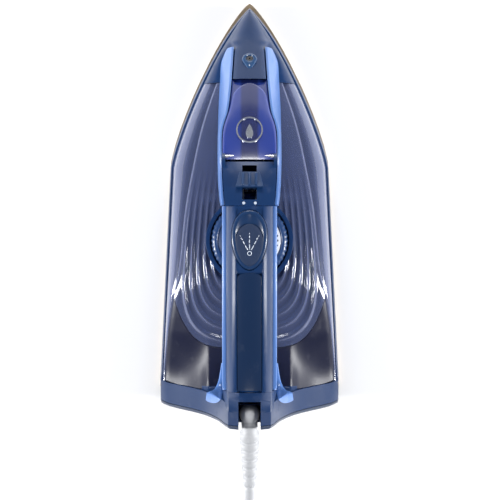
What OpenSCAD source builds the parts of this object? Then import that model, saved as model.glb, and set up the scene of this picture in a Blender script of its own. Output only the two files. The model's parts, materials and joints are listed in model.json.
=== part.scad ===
// Steam iron with a see-through water tank, a sprung spray button and a corded heel.
// Tip towards +Y, width along X, height along Z. The soleplate's face is the plane z = 0.

/* [Body] */
// Length of the body, tip to heel
body_len = 288; // [230:1:350]
// Width across the heel corners
body_w = 121; // [100:1:150]
// Height of the handle's top
body_h = 150; // [125:1:180]
// Wall of the moulded shells
wall = 2.2; // [1.6:0.1:2.8]
// Gap between neighbouring shells
shell_gap = 0.3; // [0.25:0.05:0.6]
// Lean of the heel, in degrees
heel_lean = 11; // [8:1:14]
// Depth of the heel frame
heel_depth = 14; // [11:0.5:18]

/* [Soleplate] */
// Thickness of the coated plate
plate_t = 2.6; // [2:0.1:3.4]
// Thickness of the casting over the plate
casting_t = 10.4; // [9.5:0.1:13]
// How far the casting stands inside the plate
casting_inset = 5.5; // [5:0.5:8]
// Steam hole diameter
steam_hole_d = 3; // [2:0.5:3.6]
// Steam holes on each side
steam_holes = 11; // [6:1:13]
// Heating element diameter
heater_d = 6.6; // [5.5:0.1:7.5]
// Sheet over the steam chamber
cover_t = 1.2; // [0.8:0.1:1.6]

/* [Temperature dial] */
// Dial diameter
dial_d = 50; // [41:1:60]
// Dial height
dial_t = 8; // [6.5:0.5:9.5]
// Spindle diameter
spindle_d = 6; // [5:0.5:7]

/* [Filler] */
// Lid thickness
lid_t = 2.6; // [2:0.1:3.2]
// Bore of the filler mouth
mouth_d = 16; // [13:1:19]
// Hinge pin diameter
lid_pin_d = 2; // [1.6:0.2:2.4]

/* [Controls] */
// Rearward travel of the steam slider
slider_travel = 7; // [4:0.5:8]
// Width of the slider's track
track_w = 9; // [7:0.5:11]
// Travel of the spray button
button_travel = 3.5; // [2:0.5:4.5]
// Length of the spray button
button_len = 37; // [31:1:44]
// Width of the spray button
button_w = 22; // [18:1:24]
// Bore of the spray pump
pump_d = 9.2; // [7.5:0.1:11]

/* [Handle] */
// Width over the rails
handle_w = 34.4; // [30:0.2:38]
// Width of each pale rail
rail_w = 2.6; // [2:0.1:3.2]
// Width of the grip insert
grip_w = 15; // [12:0.5:18]

/* [Cord] */
// Cord diameter
cord_d = 6.8; // [5.8:0.1:7.6]
// Strain relief, ball centre to end
guard_len = 52; // [44:1:62]
// Ball diameter
ball_d = 13; // [11:0.5:15]
// Coil diameter at the middle of its turns
coil_d = 81; // [68:1:82]
// Turns side by side in the coil
coil_across = 4; // [3:1:5]
// Turns on top of each other in the coil
coil_up = 2; // [2:1:3]
// Diameter of the plug's contact pins
plug_pin_d = 4.8; // [4:0.1:5]
// Length of the plug's contact pins
plug_pin_len = 19; // [17:0.5:20]
// Distance between the plug's contact pins
plug_pitch = 19; // [18:0.5:20]

/* [Hidden] */
$fn = 48;

navy = "#1c3c66";
pale_blue = "#7fa6dc";
smoke = "#6b7396";
metal = "#b9bcc2";

// ---- Numbers and curves ------------------------------------------------------------------

function clamp01(t) = max(0, min(1, t));
function ease(t) = let (c = clamp01(t)) c * c * (3 - 2 * c);
function mix(a, b, t) = a + (b - a) * t;
function unit(v) = v / max(norm(v), 1e-9);

// Height of a smooth curve at y, through [y, value] points that are listed with falling y
function slope_at(p, i) =
    let (a = p[max(i - 1, 0)], b = p[min(i + 1, len(p) - 1)])
    (b[1] - a[1]) / (b[0] - a[0]);
function curve(p, y) =
    let (
        above = len([for (q = p) if (q[0] > y) 1]),
        i = max(0, min(len(p) - 2, above - 1)),
        a = p[i],
        b = p[i + 1],
        h = b[0] - a[0],
        t = clamp01((y - a[0]) / h),
        ma = slope_at(p, i) * h,
        mb = slope_at(p, i + 1) * h
    )
    a[1] * (1 + 2 * t) * (1 - t) * (1 - t) + ma * t * (1 - t) * (1 - t)
    + b[1] * t * t * (3 - 2 * t) + mb * t * t * (t - 1);

// ---- Body lines --------------------------------------------------------------------------
// The body's lines are drawn on a grid of 288 long, 121 wide and 150 high. grid_y, grid_x and
// grid_z carry a place on that grid to the real size.

seam_z = 27;
casting_z = plate_t;
cover_z = casting_z + casting_t;
skirt_z = plate_t + 0.4;
shield_z = cover_z + cover_t + 6;
shield_t = 1.8;
floor_z = seam_z + shell_gap;

function grid_x(x) = x * body_w / 121;
function grid_y(y) = y * body_len / 288;
function grid_z(z) = seam_z + (z - 27) * (body_h - seam_z) / 123;
function line(p, y) = curve(p, y * 288 / body_len);

tip_y = body_len / 2;

// Half-width of the soleplate at y: a power curve over the nose, then a slow flare to the heel
nose_half_w = grid_x(48);
nose_len = grid_y(108);
flare = grid_x(12.5) / grid_y(259);
function half_width(y) =
    let (d = max(0, tip_y - y), u = min(1, d / nose_len))
    nose_half_w * pow(1 - pow(1 - u, 1.28), 0.8) + flare * d;

// Distance from the tip at which the outline is as wide as side
function tip_run(side) = pow(side / nose_half_w, 1.25) * nose_len / 1.28;

// Half-width at y of a level whose tip stands back and whose sides stand in
function level_x(y, back, side) = max(0, half_width(y + back) - side);
function level_tip(back, side) = tip_y - back - tip_run(side);

seam_back = 5;
seam_side = 2.2;
function seam_x(y) = level_x(y, seam_back, seam_side);

// Shoulder: where the steep side turns into the top
shoulder_x_line = [[104, 16.6], [92, 20.2], [60, 30.9], [32, 37.2], [4, 42.2], [-36, 46.5],
    [-54, 49.8], [-80, 54], [-108, 56.4]];
shoulder_z_line = [[104, 44], [92, 48], [60, 52.5], [32, 55], [4, 56.5], [-36, 56], [-54, 53.5],
    [-80, 44], [-108, 31]];
deck_z_line = [[104, 50], [92, 53.5], [60, 59.5], [32, 62.5], [4, 64], [-40, 63.5], [-87, 60],
    [-119, 58]];
function shoulder_x(y) = grid_x(line(shoulder_x_line, y));
function shoulder_z(y) = grid_z(line(shoulder_z_line, y));

// Half-width of the heel's bell outline, listed from its top down, on the heel's own height
bell_line = [[114, 0.1], [112.5, 9], [108, 13.4], [100, 16], [84, 19.6], [68, 25], [53, 32.5],
    [38, 44.5], [28, 54], [20, 59.2], [3, 60.2]];
function bell_x(z) = grid_x(curve(bell_line, 27 + (z - seam_z) * 123 / (body_h - seam_z)));
// Height of the bell's rim over half-width x
rim_line = [[60, 31.5], [54, 33.5], [44.5, 40], [32.5, 53], [25, 62], [17, 66], [0, 66]];
function rim_z(x) = grid_z(curve(rim_line, x * 121 / body_w));

// Top of the tank and of the deck behind it
function deck_z(x, y) =
    let (
        r = clamp01(abs(x) / shoulder_x(y)),
        crowned = mix(grid_z(line(deck_z_line, y)), shoulder_z(y), pow(r, 2.4))
    )
    mix(crowned, min(rim_z(abs(x)), grid_z(60)) - 1, ease((grid_y(-76) - y) / grid_y(38)));

// Ridge: the raised middle that carries the nozzle, the lid, the controls and the handle
top_line = [[137.5, 27.5], [132, 36], [125, 44], [113, 56], [106, 64], [95, 77], [85, 88.5],
    [78, 96], [65, 109], [52, 120.5], [40, 130.5], [32, 136], [20, 141.5], [6, 146], [-17, 149.6],
    [-30, 150], [-60, 148.5], [-90, 143], [-108, 137.5], [-120, 131], [-130, 123], [-138, 113]];
ridge_x_line = [[137.5, 0.6], [132, 3.6], [125, 6.4], [118, 9], [113, 11.2], [95, 12.5],
    [81, 13.4], [65, 15.2], [57, 17.6], [50, 18.8], [33, 18.8], [20, 18.4], [4, 17.2]];
foot_x_line = [[137.5, 0.8], [132, 4.6], [125, 8], [118, 11], [113, 13.2], [106, 16.8],
    [100, 18.8], [88, 19.5], [60, 20.6], [20, 20.4], [8, 18.8], [2, 17.4]];
foot_z_line = [[137.5, 27.4], [132, 31], [125, 35], [113, 41.5], [100, 45.5], [88, 50.5]];
ridge_crown = 3.2;
function top_z(y) = grid_z(line(top_line, y));
function ridge_x(y) = handle_w / 34.4 * line(ridge_x_line, y);
function foot_x(y) = handle_w / 34.4 * line(foot_x_line, y);
function foot_z(y) = grid_z(line(foot_z_line, y));
function crown_z(x, y) = top_z(y) - ridge_crown * pow(clamp01(abs(x) / ridge_x(y)), 2);

// Underside of the handle, from the front column over the hand gap to the rear column
under_line = [[13.5, 66], [12.5, 84], [9, 98], [2, 107], [-10, 112.5], [-40, 115.5], [-70, 114],
    [-92, 108], [-103, 98], [-108.5, 84], [-110.5, 64]];
rail_line = [[4, 128], [-17, 129], [-50, 128], [-90, 122], [-110, 114]];
function under_z(y) = grid_z(line(under_line, y));
function rail_z(y) = grid_z(line(rail_line, y));

// ---- Places ------------------------------------------------------------------------------

skirt_rear_depth = heel_depth + 2.4;
nose_end_y = grid_y(87);
mouth_rear_y = grid_y(33);
panel_rear_y = grid_y(4);
dial_y = grid_y(-17);
button_y = grid_y(-17);
pump_y = grid_y(-9);
rod_y = grid_y(19);
neck_y = grid_y(58);
nozzle_y = grid_y(100);
deck_front_y = grid_y(-87);
grip_front_y = grid_y(-40);
handle_rear_y = grid_y(-112);
fuse_y = grid_y(-58) - 8;
earth_y = grid_y(-93);

// The heel's flat back leans; its top edge is the rearmost line of the body
heel_top_z = grid_z(112);
function heel_y(z, depth) = -body_len / 2 + (heel_top_z - z) * tan(heel_lean) + depth / cos(heel_lean);

// ---- Solids from grids of points ----------------------------------------------------------

function quad(a, b, c, d) = [[a, b, c], [a, c, d]];
function mirrored(half) = concat(
    [for (i = [0:len(half) - 1]) [-half[i][0], half[i][1], half[i][2]]],
    [for (i = [len(half) - 2:-1:0]) half[i]]
);

// Outward normal of a grid whose rows run to -Y and whose columns run to +X over the top
function grid_normal(g, i, j) =
    let (
        n = len(g) - 1,
        m = len(g[0]) - 1,
        di = g[min(i + 1, n)][j] - g[max(i - 1, 0)][j],
        dj = g[i][min(j + 1, m)] - g[i][max(j - 1, 0)]
    )
    unit(cross(di, dj));
function lifted(g, t) = [for (row = g) [for (p = row) p + [0, 0, t]]];

// A closed solid between an outer and an inner skin
module sheet_between(outer, inner) {
    n = len(outer) - 1;
    m = len(outer[0]) - 1;
    half = (n + 1) * (m + 1);
    function o(i, j) = i * (m + 1) + j;
    function s(i, j) = half + o(i, j);
    faces = concat(
        [for (i = [0:n - 1], j = [0:m - 1]) each quad(o(i, j), o(i, j + 1), o(i + 1, j + 1), o(i + 1, j))],
        [for (i = [0:n - 1], j = [0:m - 1]) each quad(s(i, j), s(i + 1, j), s(i + 1, j + 1), s(i, j + 1))],
        [for (j = [0:m - 1]) each quad(o(0, j + 1), o(0, j), s(0, j), s(0, j + 1))],
        [for (j = [0:m - 1]) each quad(o(n, j), o(n, j + 1), s(n, j + 1), s(n, j))],
        [for (i = [0:n - 1]) each quad(o(i, 0), o(i + 1, 0), s(i + 1, 0), s(i, 0))],
        [for (i = [0:n - 1]) each quad(o(i + 1, m), o(i, m), s(i, m), s(i + 1, m))]
    );
    polyhedron([each [for (r = outer) each r], each [for (r = inner) each r]], faces, convexity = 8);
}

// The inner skin stays in its row's own cross-section
module sheet(outer, t) {
    sheet_between(outer, [
        for (i = [0:len(outer) - 1]) [
            for (j = [0:len(outer[0]) - 1])
                let (n = grid_normal(outer, i, j))
                outer[i][j] - t * unit([n[0], 0, n[2]])
        ]
    ]);
}

// A solid through closed loops, each counter-clockwise from above, from the bottom up.
// With wrap the last loop joins the first, which makes a hollow ring.
module loft(loops, wrap = false) {
    n = len(loops);
    m = len(loops[0]);
    function id(i, j) = (i % n) * m + j % m;
    faces = concat(
        [
            for (i = [0:n - (wrap ? 1 : 2)], j = [0:m - 1])
                each quad(id(i, j), id(i + 1, j), id(i + 1, j + 1), id(i, j + 1))
        ],
        wrap ? [] : [[for (j = [0:m - 1]) j], [for (j = [m - 1:-1:0]) id(n - 1, j)]]
    );
    polyhedron([for (l = loops) each l], faces, convexity = 8);
}

// Closed loop of a body level at height z, from its tip round to rear_y
level_steps = 26;
function level_loop(back, side, rear_y, z) =
    let (
        front = level_tip(back, side),
        ys = [for (i = [0:level_steps]) mix(front, rear_y, pow(i / level_steps, 1.6))],
        xs = [for (i = [0:level_steps]) i == 0 ? 0 : level_x(ys[i], back, side)]
    )
    concat(
        [for (i = [0:level_steps]) [-xs[i], ys[i], z]],
        [for (i = [level_steps:-1:1]) [xs[i], ys[i], z]]
    );
function flat_points(loop) = [for (p = loop) [p[0], p[1]]];

// A round tube along points: each ring stands across the path, with no twist
function path_dir(p, i) = unit(p[min(i + 1, len(p) - 1)] - p[max(i - 1, 0)]);
function side_of(d, ref) =
    unit(cross(d, ref != undef ? ref : abs(d[0]) < 0.9 ? [1, 0, 0] : [0, 0, 1]));
function ring_at(c, d, r, sides, ref) =
    let (a = side_of(d, ref), b = cross(d, a))
    [for (k = [0:sides - 1]) c + r * (cos(360 * k / sides) * a + sin(360 * k / sides) * b)];
module tube_along(p, r, sides = 8, ref = undef) {
    loft([for (i = [0:len(p) - 1]) ring_at(p[i], path_dir(p, i), r, sides, ref)]);
}

// Points on a smooth curve through hand-set points, steps to each stretch
function spline_point(p, i, t) =
    let (
        n = len(p) - 1,
        a = p[max(i - 1, 0)],
        b = p[i],
        c = p[min(i + 1, n)],
        d = p[min(i + 2, n)]
    )
    0.5 * (2 * b + (c - a) * t + (2 * a - 5 * b + 4 * c - d) * t * t
    + (3 * b - a - 3 * c + d) * t * t * t);
function spline(p, steps) = concat(
    [for (i = [0:len(p) - 2], k = [0:steps - 1]) spline_point(p, i, k / steps)],
    [p[len(p) - 1]]
);

// ---- Soleplate and heater ----------------------------------------------------------------

sole_rear_y = heel_y(0, heel_depth / 2);
casting_rear_y = heel_y(skirt_z, skirt_rear_depth + wall) + 1.6;
module sole_outline(inset, rear_y) {
    polygon(flat_points(level_loop(inset * 1.4, inset, rear_y + inset, 0)));
}

// Heater: two straight legs joined by a bend behind the tip
heater_r = heater_d / 2;
heater_z = casting_z + 1.2 + heater_r;
heater_bend_r = grid_x(13);
heater_front_y = grid_y(78);
heater_rear_y = grid_y(-88);
heater_lean = atan(grid_x(30) / (heater_front_y - heater_rear_y));
heater_leg = (heater_front_y - heater_rear_y) / cos(heater_lean);
heater_post_top = shield_z + shield_t + 2;
heater_bow_r = 7;
// One side of the heater's middle line, from its end post down to the bend
function heater_side(side) =
    let (
        out = [side * sin(heater_lean), -cos(heater_lean), 0],
        start = [
            side * heater_bend_r * cos(heater_lean),
            heater_front_y + heater_bend_r * sin(heater_lean),
            heater_z
        ],
        leg_end = start + heater_leg * out
    )
    concat(
        [leg_end + heater_bow_r * out + [0, 0, heater_post_top - 4 - heater_z]],
        [
            for (a = [90:-22.5:0])
                leg_end + heater_bow_r * (sin(a) * out + [0, 0, 1 - cos(a)])
        ],
        [start]
    );
heater_path = concat(
    heater_side(1),
    [
        for (i = [1:11])
            let (a = mix(heater_lean, 180 - heater_lean, i / 12))
            [heater_bend_r * cos(a), heater_front_y + heater_bend_r * sin(a), heater_z]
    ],
    back(heater_side(-1))
);
module heater_shape(r) {
    tube_along(heater_path, r, 16, [1, 0, 1]);
}
function heater_end(side) =
    let (a = heater_lean)
    [
        side * (heater_bend_r * cos(a) + (heater_leg + heater_bow_r) * sin(a)),
        heater_front_y + heater_bend_r * sin(a) - (heater_leg + heater_bow_r) * cos(a)
    ];

// Steam chamber: between the heater's legs
chamber_front_y = grid_y(66);
chamber_rear_y = grid_y(-58);
function leg_x(y) =
    heater_bend_r * cos(heater_lean)
    + (heater_front_y + heater_bend_r * sin(heater_lean) - y) * tan(heater_lean);
function chamber_x(y, inset) = leg_x(y) - heater_r - 3 - inset;
module chamber_outline(grow) {
    polygon([
        [chamber_x(chamber_front_y, -grow), chamber_front_y + grow],
        [chamber_x(chamber_rear_y, -grow), chamber_rear_y - grow],
        [-chamber_x(chamber_rear_y, -grow), chamber_rear_y - grow],
        [-chamber_x(chamber_front_y, -grow), chamber_front_y + grow]
    ]);
}
island_r = 10;
chamber_floor = 3.2;

module steam_hole_set(z, h) {
    for (side = [-1, 1], i = [0:steam_holes - 1]) {
        y = mix(chamber_front_y - 5, chamber_rear_y + 6, i / (steam_holes - 1));
        translate([side * (chamber_x(y, steam_hole_d / 2 + 1.6)), y, z])
            cylinder(d = steam_hole_d, h = h, $fn = 24);
    }
}

module soleplate() color("#c9a46a") {
    difference() {
        union() {
            linear_extrude(plate_t * 0.4) sole_outline(0.9, sole_rear_y);
            translate([0, 0, plate_t * 0.4])
                linear_extrude(plate_t * 0.6) sole_outline(0, sole_rear_y);
        }
        steam_hole_set(-1, plate_t + 2);
    }
}

module sole_casting() color(metal) {
    difference() {
        translate([0, 0, casting_z])
            linear_extrude(casting_t) sole_outline(casting_inset, casting_rear_y - casting_inset);
        translate([0, 0, casting_z + chamber_floor])
            linear_extrude(casting_t) difference() {
                chamber_outline(0);
                translate([0, dial_y]) circle(island_r);
            }
        steam_hole_set(casting_z - 1, chamber_floor + 2);
        heater_shape(heater_r + 0.05);
        for (side = [-1, 1]) translate([heater_end(side)[0], heater_end(side)[1], heater_z])
            cylinder(r = heater_r + 0.6, h = casting_t);
        for (p = base_screw_spots) translate([p[0], p[1], cover_z - screw_bite])
            cylinder(d = screw_d, h = screw_bite + 1, $fn = 24);
    }
}

module heating_element() color("#8a8d92") {
    heater_shape(heater_r);
}

module element_terminals() color("#e8e4da") {
    for (side = [-1, 1]) translate([heater_end(side)[0], heater_end(side)[1], heater_post_top - 4]) {
        cylinder(r = heater_r + 0.8, h = 2.4);
        cylinder(r = 1.2, h = 5);
    }
}

module steam_cover() color("#cfd2d6") {
    translate([0, 0, cover_z]) linear_extrude(cover_t) difference() {
        chamber_outline(2);
        translate([0, dial_y]) circle(island_r - 1.5);
        translate([0, rod_y]) circle(valve_r - 1);
    }
}

module thermal_fuse() color("#d8c27a") {
    translate([0, fuse_y, cover_z]) {
        translate([-9, 0, 3]) rotate([0, 90, 0]) cylinder(r = 2.6, h = 18);
        for (side = [-1, 1]) translate([side * 12 - 3, -3.2, 0]) cube([6, 6.4, 1.2]);
        for (side = [-1, 1]) translate([side * 9.6 - 0.8, -1.5, 0]) cube([1.6, 3, 3.4]);
    }
}

// ---- Thermostat and its spindle ------------------------------------------------------------

thermostat_top = shield_z + shield_t + 3;
spindle_r = spindle_d / 2;
well_z = grid_z(60);
well_t = 2;
dial_z = well_z + well_t + 0.8;
dial_r = dial_d / 2;
well_r = dial_r + 3.5;

module thermostat() color("#d9d5c8") {
    translate([0, dial_y, 0]) difference() {
        union() {
            translate([0, 0, cover_z]) cylinder(r = island_r - 2, h = 2.4);
            translate([0, 0, cover_z]) cylinder(r = 6.4, h = thermostat_top - cover_z);
        }
        translate([0, 0, thermostat_top - 6]) cylinder(r = spindle_r + 0.05, h = 7);
    }
}

module thermostat_spindle() color(metal) {
    translate([0, dial_y, thermostat_top - 5])
        cylinder(r = spindle_r, h = dial_z + dial_t - 3 - thermostat_top + 5);
}

module spindle_bush() color("#f0f0ea") {
    translate([0, dial_y, well_z - 8]) difference() {
        union() {
            cylinder(r = spindle_r + 1.7, h = 7.7);
            translate([0, 0, 7.7 - 1.2]) cylinder(r = spindle_r + 3, h = 1.2);
        }
        translate([0, 0, -1]) cylinder(r = spindle_r + 0.05, h = 10);
    }
}

module heat_shield() color("#2b2b2e") {
    translate([0, 0, shield_z]) linear_extrude(shield_t) difference() {
        sole_outline(casting_inset + 1.5, heel_y(shield_z, heel_depth + 6));
        translate([0, dial_y]) circle(6.4 + 0.6);
        translate([0, rod_y]) circle(valve_r + 0.3);
        for (side = [-1, 1]) translate(heater_end(side)) circle(heater_r + 1.4);
        translate([0, earth_y]) circle(3);
        for (p = base_screw_spots) translate(p) circle(screw_d / 2 + 0.2);
    }
}

// ---- Skirt and tank ------------------------------------------------------------------------

// Hollow ring of the body between two heights; each level is [back, side, z]
module body_ring(levels, t, rear_gap) {
    outer = [for (l = levels) level_loop(l[0], l[1], heel_y(l[2], skirt_rear_depth + rear_gap), l[2])];
    inner = [
        for (i = [len(levels) - 1:-1:0])
            let (l = levels[i])
            level_loop(l[0] + 1.4 * t, l[1] + t, heel_y(l[2], skirt_rear_depth + rear_gap + t), l[2])
    ];
    loft(concat(outer, inner), wrap = true);
}

module skirt() color(navy) {
    body_ring([[2.6, 1.2, skirt_z], [3.2, 1.3, skirt_z + 9], [seam_back, seam_side, seam_z]], wall, 0.4);
}

// Side of the tank: a ring whose top edge is the shoulder line
side_steps = 16;
tank_front_y = nose_end_y - shell_gap;
tank_rear_y = heel_y(seam_z, skirt_rear_depth + 0.6);
// Stations of the body side, from front to rear
function side_ys(a, b, n) = [for (i = [0:n]) mix(a, b, i / n)];
function side_profile(y, inset) =
    let (
        bottom = [seam_x(y) - inset, y, floor_z],
        top = [shoulder_x(y) - inset, y, side_top_z(y)],
        bulge = [
            mix(seam_x(y), shoulder_x(y), 0.14) - inset,
            y,
            mix(floor_z, side_top_z(y), 0.55)
        ]
    )
    [bottom, bulge, top];
// The tank's top and the deck rest on the side wall
function side_top_z(y) = max(floor_z + 0.6, deck_z(shoulder_x(y), y) - wall - shell_gap);

module tank_side(side) {
    ys = side_ys(tank_front_y, tank_rear_y, side_steps);
    outer = [for (y = ys) side_profile(y, 0)];
    inner = [for (y = ys) side_profile(y, wall)];
    grid_out = side > 0 ? [for (r = outer) [r[2], r[1], r[0]]] : [for (r = outer) flip_x(r)];
    grid_in = side > 0 ? [for (r = inner) [r[2], r[1], r[0]]] : [for (r = inner) flip_x(r)];
    sheet_between(grid_out, grid_in);
}
function flip_x(row) = [for (p = row) [-p[0], p[1], p[2]]];

// Cross wall of the tank at y, from the floor to under the top
module cross_wall(y, t) {
    x = shoulder_x(y) - wall / 2;
    translate([0, y, 0]) rotate([90, 0, 0]) linear_extrude(t) polygon([
        [-min(seam_x(y), seam_x(y - t)) + wall / 2, floor_z],
        [min(seam_x(y), seam_x(y - t)) - wall / 2, floor_z],
        [x, shoulder_z(y) - wall],
        [0, grid_z(58) - wall - 1],
        [-x, shoulder_z(y) - wall]
    ]);
}

module tank_shell() color(smoke, 0.6) {
    for (side = [-1, 1]) tank_side(side);
    difference() {
        cross_wall(tank_front_y - 0.1, wall);
        translate([-50, tank_front_y - 10, grid_z(47)]) cube([100, 20, 60]);
    }
    translate([0, deck_front_y + grid_y(3), 0]) rotate([90, 0, 0]) linear_extrude(wall) polygon([
        [-seam_x(deck_front_y) + wall / 2, floor_z],
        [seam_x(deck_front_y) - wall / 2, floor_z],
        [shoulder_x(deck_front_y) - wall, grid_z(33)],
        [grid_x(40), grid_z(42)],
        [grid_x(24), grid_z(51)],
        [-grid_x(24), grid_z(51)],
        [-grid_x(40), grid_z(42)],
        [-shoulder_x(deck_front_y) + wall, grid_z(33)]
    ]);
}

module tank_floor() color(smoke, 0.6) {
    difference() {
        union() {
            translate([0, 0, floor_z]) linear_extrude(wall) polygon(flat_points(
                floor_loop(wall + 0.7)
            ));
            translate([0, dial_y, floor_z]) cylinder(r = tunnel_r, h = well_z - floor_z - 0.3);
        }
        translate([0, dial_y, floor_z - 1]) cylinder(r = spindle_r + 1.75, h = well_z);
        translate([0, dial_y, well_z - 1.8]) cylinder(r = spindle_r + 3.1, h = 3);
        translate([0, rod_y, floor_z - 1]) cylinder(r = valve_r - 0.9, h = wall + 2);
    }
}
tunnel_r = spindle_r + 4.6;
function floor_loop(inset) =
    let (
        a = tank_front_y - wall - 0.4,
        b = deck_front_y + grid_y(3) + 0.3,
        ys = side_ys(a, b, 10)
    )
    concat(
        [for (y = ys) [-seam_x(y) + inset, y, 0]],
        [for (i = [10:-1:0]) [seam_x(ys[i]) - inset, ys[i], 0]]
    );

// Top of the tank. Rows are straight across in front and bow round the dial towards the rear.
window_rows = 13;
window_cols = 8;
function window_row(front, rear, i, n, bow_at_end, bow_from) =
    let (
        y_mid = mix(front, rear, i / n),
        bow = bow_at_end * pow(clamp01((bow_from - y_mid) / (bow_from - rear)), 1.3)
    )
    [y_mid, bow];
function top_row(y_mid, bow, edge, lift) = mirrored([
    for (j = [0:window_cols])
        let (
            r = 1 - j / window_cols,
            y = y_mid + bow * pow(r, 5),
            x = (shoulder_x(y_mid + bow) - edge) * r
        )
        [x, y, deck_z(x, y) + lift]
]);
window_bow = grid_y(33);
module tank_window() color(smoke, 0.5) {
    outer = [
        for (i = [0:window_rows])
            let (w = window_row(tank_front_y, deck_front_y, i, window_rows, window_bow, grid_y(-22)))
            top_row(w[0], w[1], 0.1, 0)
    ];
    difference() {
        sheet_between(outer, lifted(outer, -wall));
        translate([0, dial_y, well_z - 20]) cylinder(r = well_r + 0.3, h = 40);
        translate([0, neck_y, well_z - 20]) cylinder(r = neck_r + 0.2, h = 40);
        translate([0, rod_y, well_z - 20]) cylinder(r = gland_r, h = 40);
        translate([riser_x, inlet_y, well_z - 20]) cylinder(r = tube_r + 0.2, h = 40, $fn = 24);
    }
}

deck_rows = 7;
module rear_deck() color("#2b2f4a") {
    rear = heel_y(grid_z(50), skirt_rear_depth + 0.6);
    outer = [
        for (i = [0:deck_rows])
            let (
                t = i / deck_rows,
                y_mid = mix(deck_front_y - shell_gap, rear, t),
                bow = mix(window_bow, grid_y(5), t)
            )
            top_row(y_mid, bow, 0.1, 0)
    ];
    sheet_between(outer, lifted(outer, -wall));
}

module dial_well() color(navy) {
    rim_z = dial_t - 1;
    translate([0, dial_y, well_z]) {
        rotate_extrude() polygon([
            [spindle_r + 0.6, 0], [well_r, 0], [well_r, rim_z], [dial_r + 0.8, rim_z],
            [dial_r + 0.8, well_t], [spindle_r + 0.6, well_t]
        ]);
        // raised shields in front of the dial
        for (a = [38, 118]) rotate([0, 0, a]) rotate_extrude(angle = 24)
            translate([dial_r + 1.2, rim_z - 1]) square([well_r - dial_r - 1.6, 5]);
    }
}

module temperature_dial() color("#34508c") {
    translate([0, dial_y, dial_z]) difference() {
        union() {
            cylinder(r = dial_r, h = dial_t * 0.55);
            translate([0, 0, dial_t * 0.55]) cylinder(r1 = dial_r, r2 = dial_r - 1.4, h = dial_t * 0.3);
        }
        translate([0, 0, dial_t * 0.55]) cylinder(r = dial_r - 4.4, h = dial_t);
        translate([0, 0, -1]) cylinder(r = spindle_r, h = dial_t - 3 + 1);
    }
}

module dial_cap() color("#e9ebf2") {
    translate([0, dial_y, dial_z + dial_t * 0.55]) difference() {
        union() {
            cylinder(r = dial_r - 4.5, h = dial_t * 0.2);
            cylinder(r = dial_r - 9, h = dial_t * 0.45);
        }
        translate([0, 0, -1]) cylinder(r = spindle_r + 0.05, h = dial_t * 0.45 - 3 + 1 + 1);
    }
}

// ---- Steam valve -----------------------------------------------------------------------

valve_r = 4;
rod_r = 1.5;
gland_r = 3.4;
module valve_seat() color("#c9a227") {
    translate([0, rod_y, 0]) difference() {
        union() {
            translate([0, 0, cover_z + cover_t]) cylinder(r = valve_r, h = floor_z - cover_z - cover_t);
            translate([0, 0, floor_z]) cylinder(r = valve_r - 1, h = wall + 1.5);
        }
        translate([0, 0, cover_z]) cylinder(r = 1, h = 40);
        translate([0, 0, shield_z - 1]) cylinder(r = rod_r + 0.05, h = 40);
    }
}

rod_top_z = crown_z(0, rod_y) - 10.1;
module dosing_rod() color("#d7d9dc") {
    translate([0, rod_y, 0]) {
        translate([0, 0, shield_z + 1]) cylinder(r1 = 0.9, r2 = rod_r, h = 2);
        translate([0, 0, shield_z + 3]) cylinder(r = rod_r, h = rod_top_z - shield_z - 3);
        translate([0, 0, rod_top_z - 2]) cylinder(r = 3.2, h = 2);
    }
}

module rod_gland() color("#3a3a3c") {
    z = deck_z(0, rod_y);
    translate([0, rod_y, z - wall - 1.4]) difference() {
        union() {
            cylinder(r = gland_r, h = wall + 4);
            cylinder(r = gland_r + 1, h = 1);
        }
        translate([0, 0, -1]) cylinder(r = rod_r + 0.08, h = wall + 8);
    }
}

// ---- Nose, nozzle and side trims -----------------------------------------------------------

trim_t = 1.6;
nose_front_y = level_tip(seam_back, seam_side) - grid_y(2.4);
// Half section of the nose: seam, bulge, foot, recessed flank, ridge edge, crown, middle
function nose_half(y) =
    let (
        dip = (trim_t + 0.8) * ease((grid_y(115) - y) / grid_y(5)),
        fx = min(foot_x(y), seam_x(y) - 0.4),
        fz = min(foot_z(y), top_z(y) - 0.6),
        rx = min(ridge_x(y), fx - 0.3),
        rz = max(fz + 0.3, crown_z(ridge_x(y), y))
    )
    [
        [seam_x(y), y, floor_z],
        [mix(seam_x(y), fx, 0.22), y, mix(floor_z, fz, 0.62)],
        [fx + 0.4, y, fz - 0.4],
        [fx - dip, y, fz + dip * 0.2],
        [rx - dip, y, rz - dip * 0.6],
        [rx - 0.2 - dip * 0.8, y, rz + 0.1],
        [rx * 0.5, y, crown_z(rx * 0.5, y)],
        [0, y, top_z(y)]
    ];
// Inner half section, wall inside the outer one and thinner at the very tip
function nose_inner_half(y) =
    let (
        o = nose_half(y),
        t = min(wall, 0.5 * o[5][0]),
        edge_x = o[4][0] - 1.15 * t
    )
    [
        o[0] - [t, 0, 0],
        o[1] - [t, 0, 0.3 * t],
        o[2] - [t, 0, 0.6 * t],
        o[3] - [t, 0, 0.5 * t],
        o[4] - [t, 0, t],
        [edge_x, y, mix(o[4][2], o[5][2], 0.4) - t],
        [edge_x * 0.5, y, crown_z(edge_x * 0.5, y) - t],
        o[7] - [0, 0, t]
    ];
nose_rows = 14;
nozzle_tilt = 52;
nozzle_r = 4.4;
module at_nozzle() {
    translate([0, nozzle_y, top_z(nozzle_y)]) rotate([nozzle_tilt - 90, 0, 0]) children();
}
module nose_cover() color(navy) {
    ys = [for (i = [0:nose_rows]) mix(nose_front_y, nose_end_y, pow(i / nose_rows, 1.15))];
    difference() {
        sheet_between([for (y = ys) mirrored(nose_half(y))], [for (y = ys) mirrored(nose_inner_half(y))]);
        // a twelve-sided hole, wide enough to clear the round nozzle
        at_nozzle() translate([0, 0, -12]) cylinder(r = nozzle_r + 0.45, h = 24, $fn = 12);
    }
}

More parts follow.
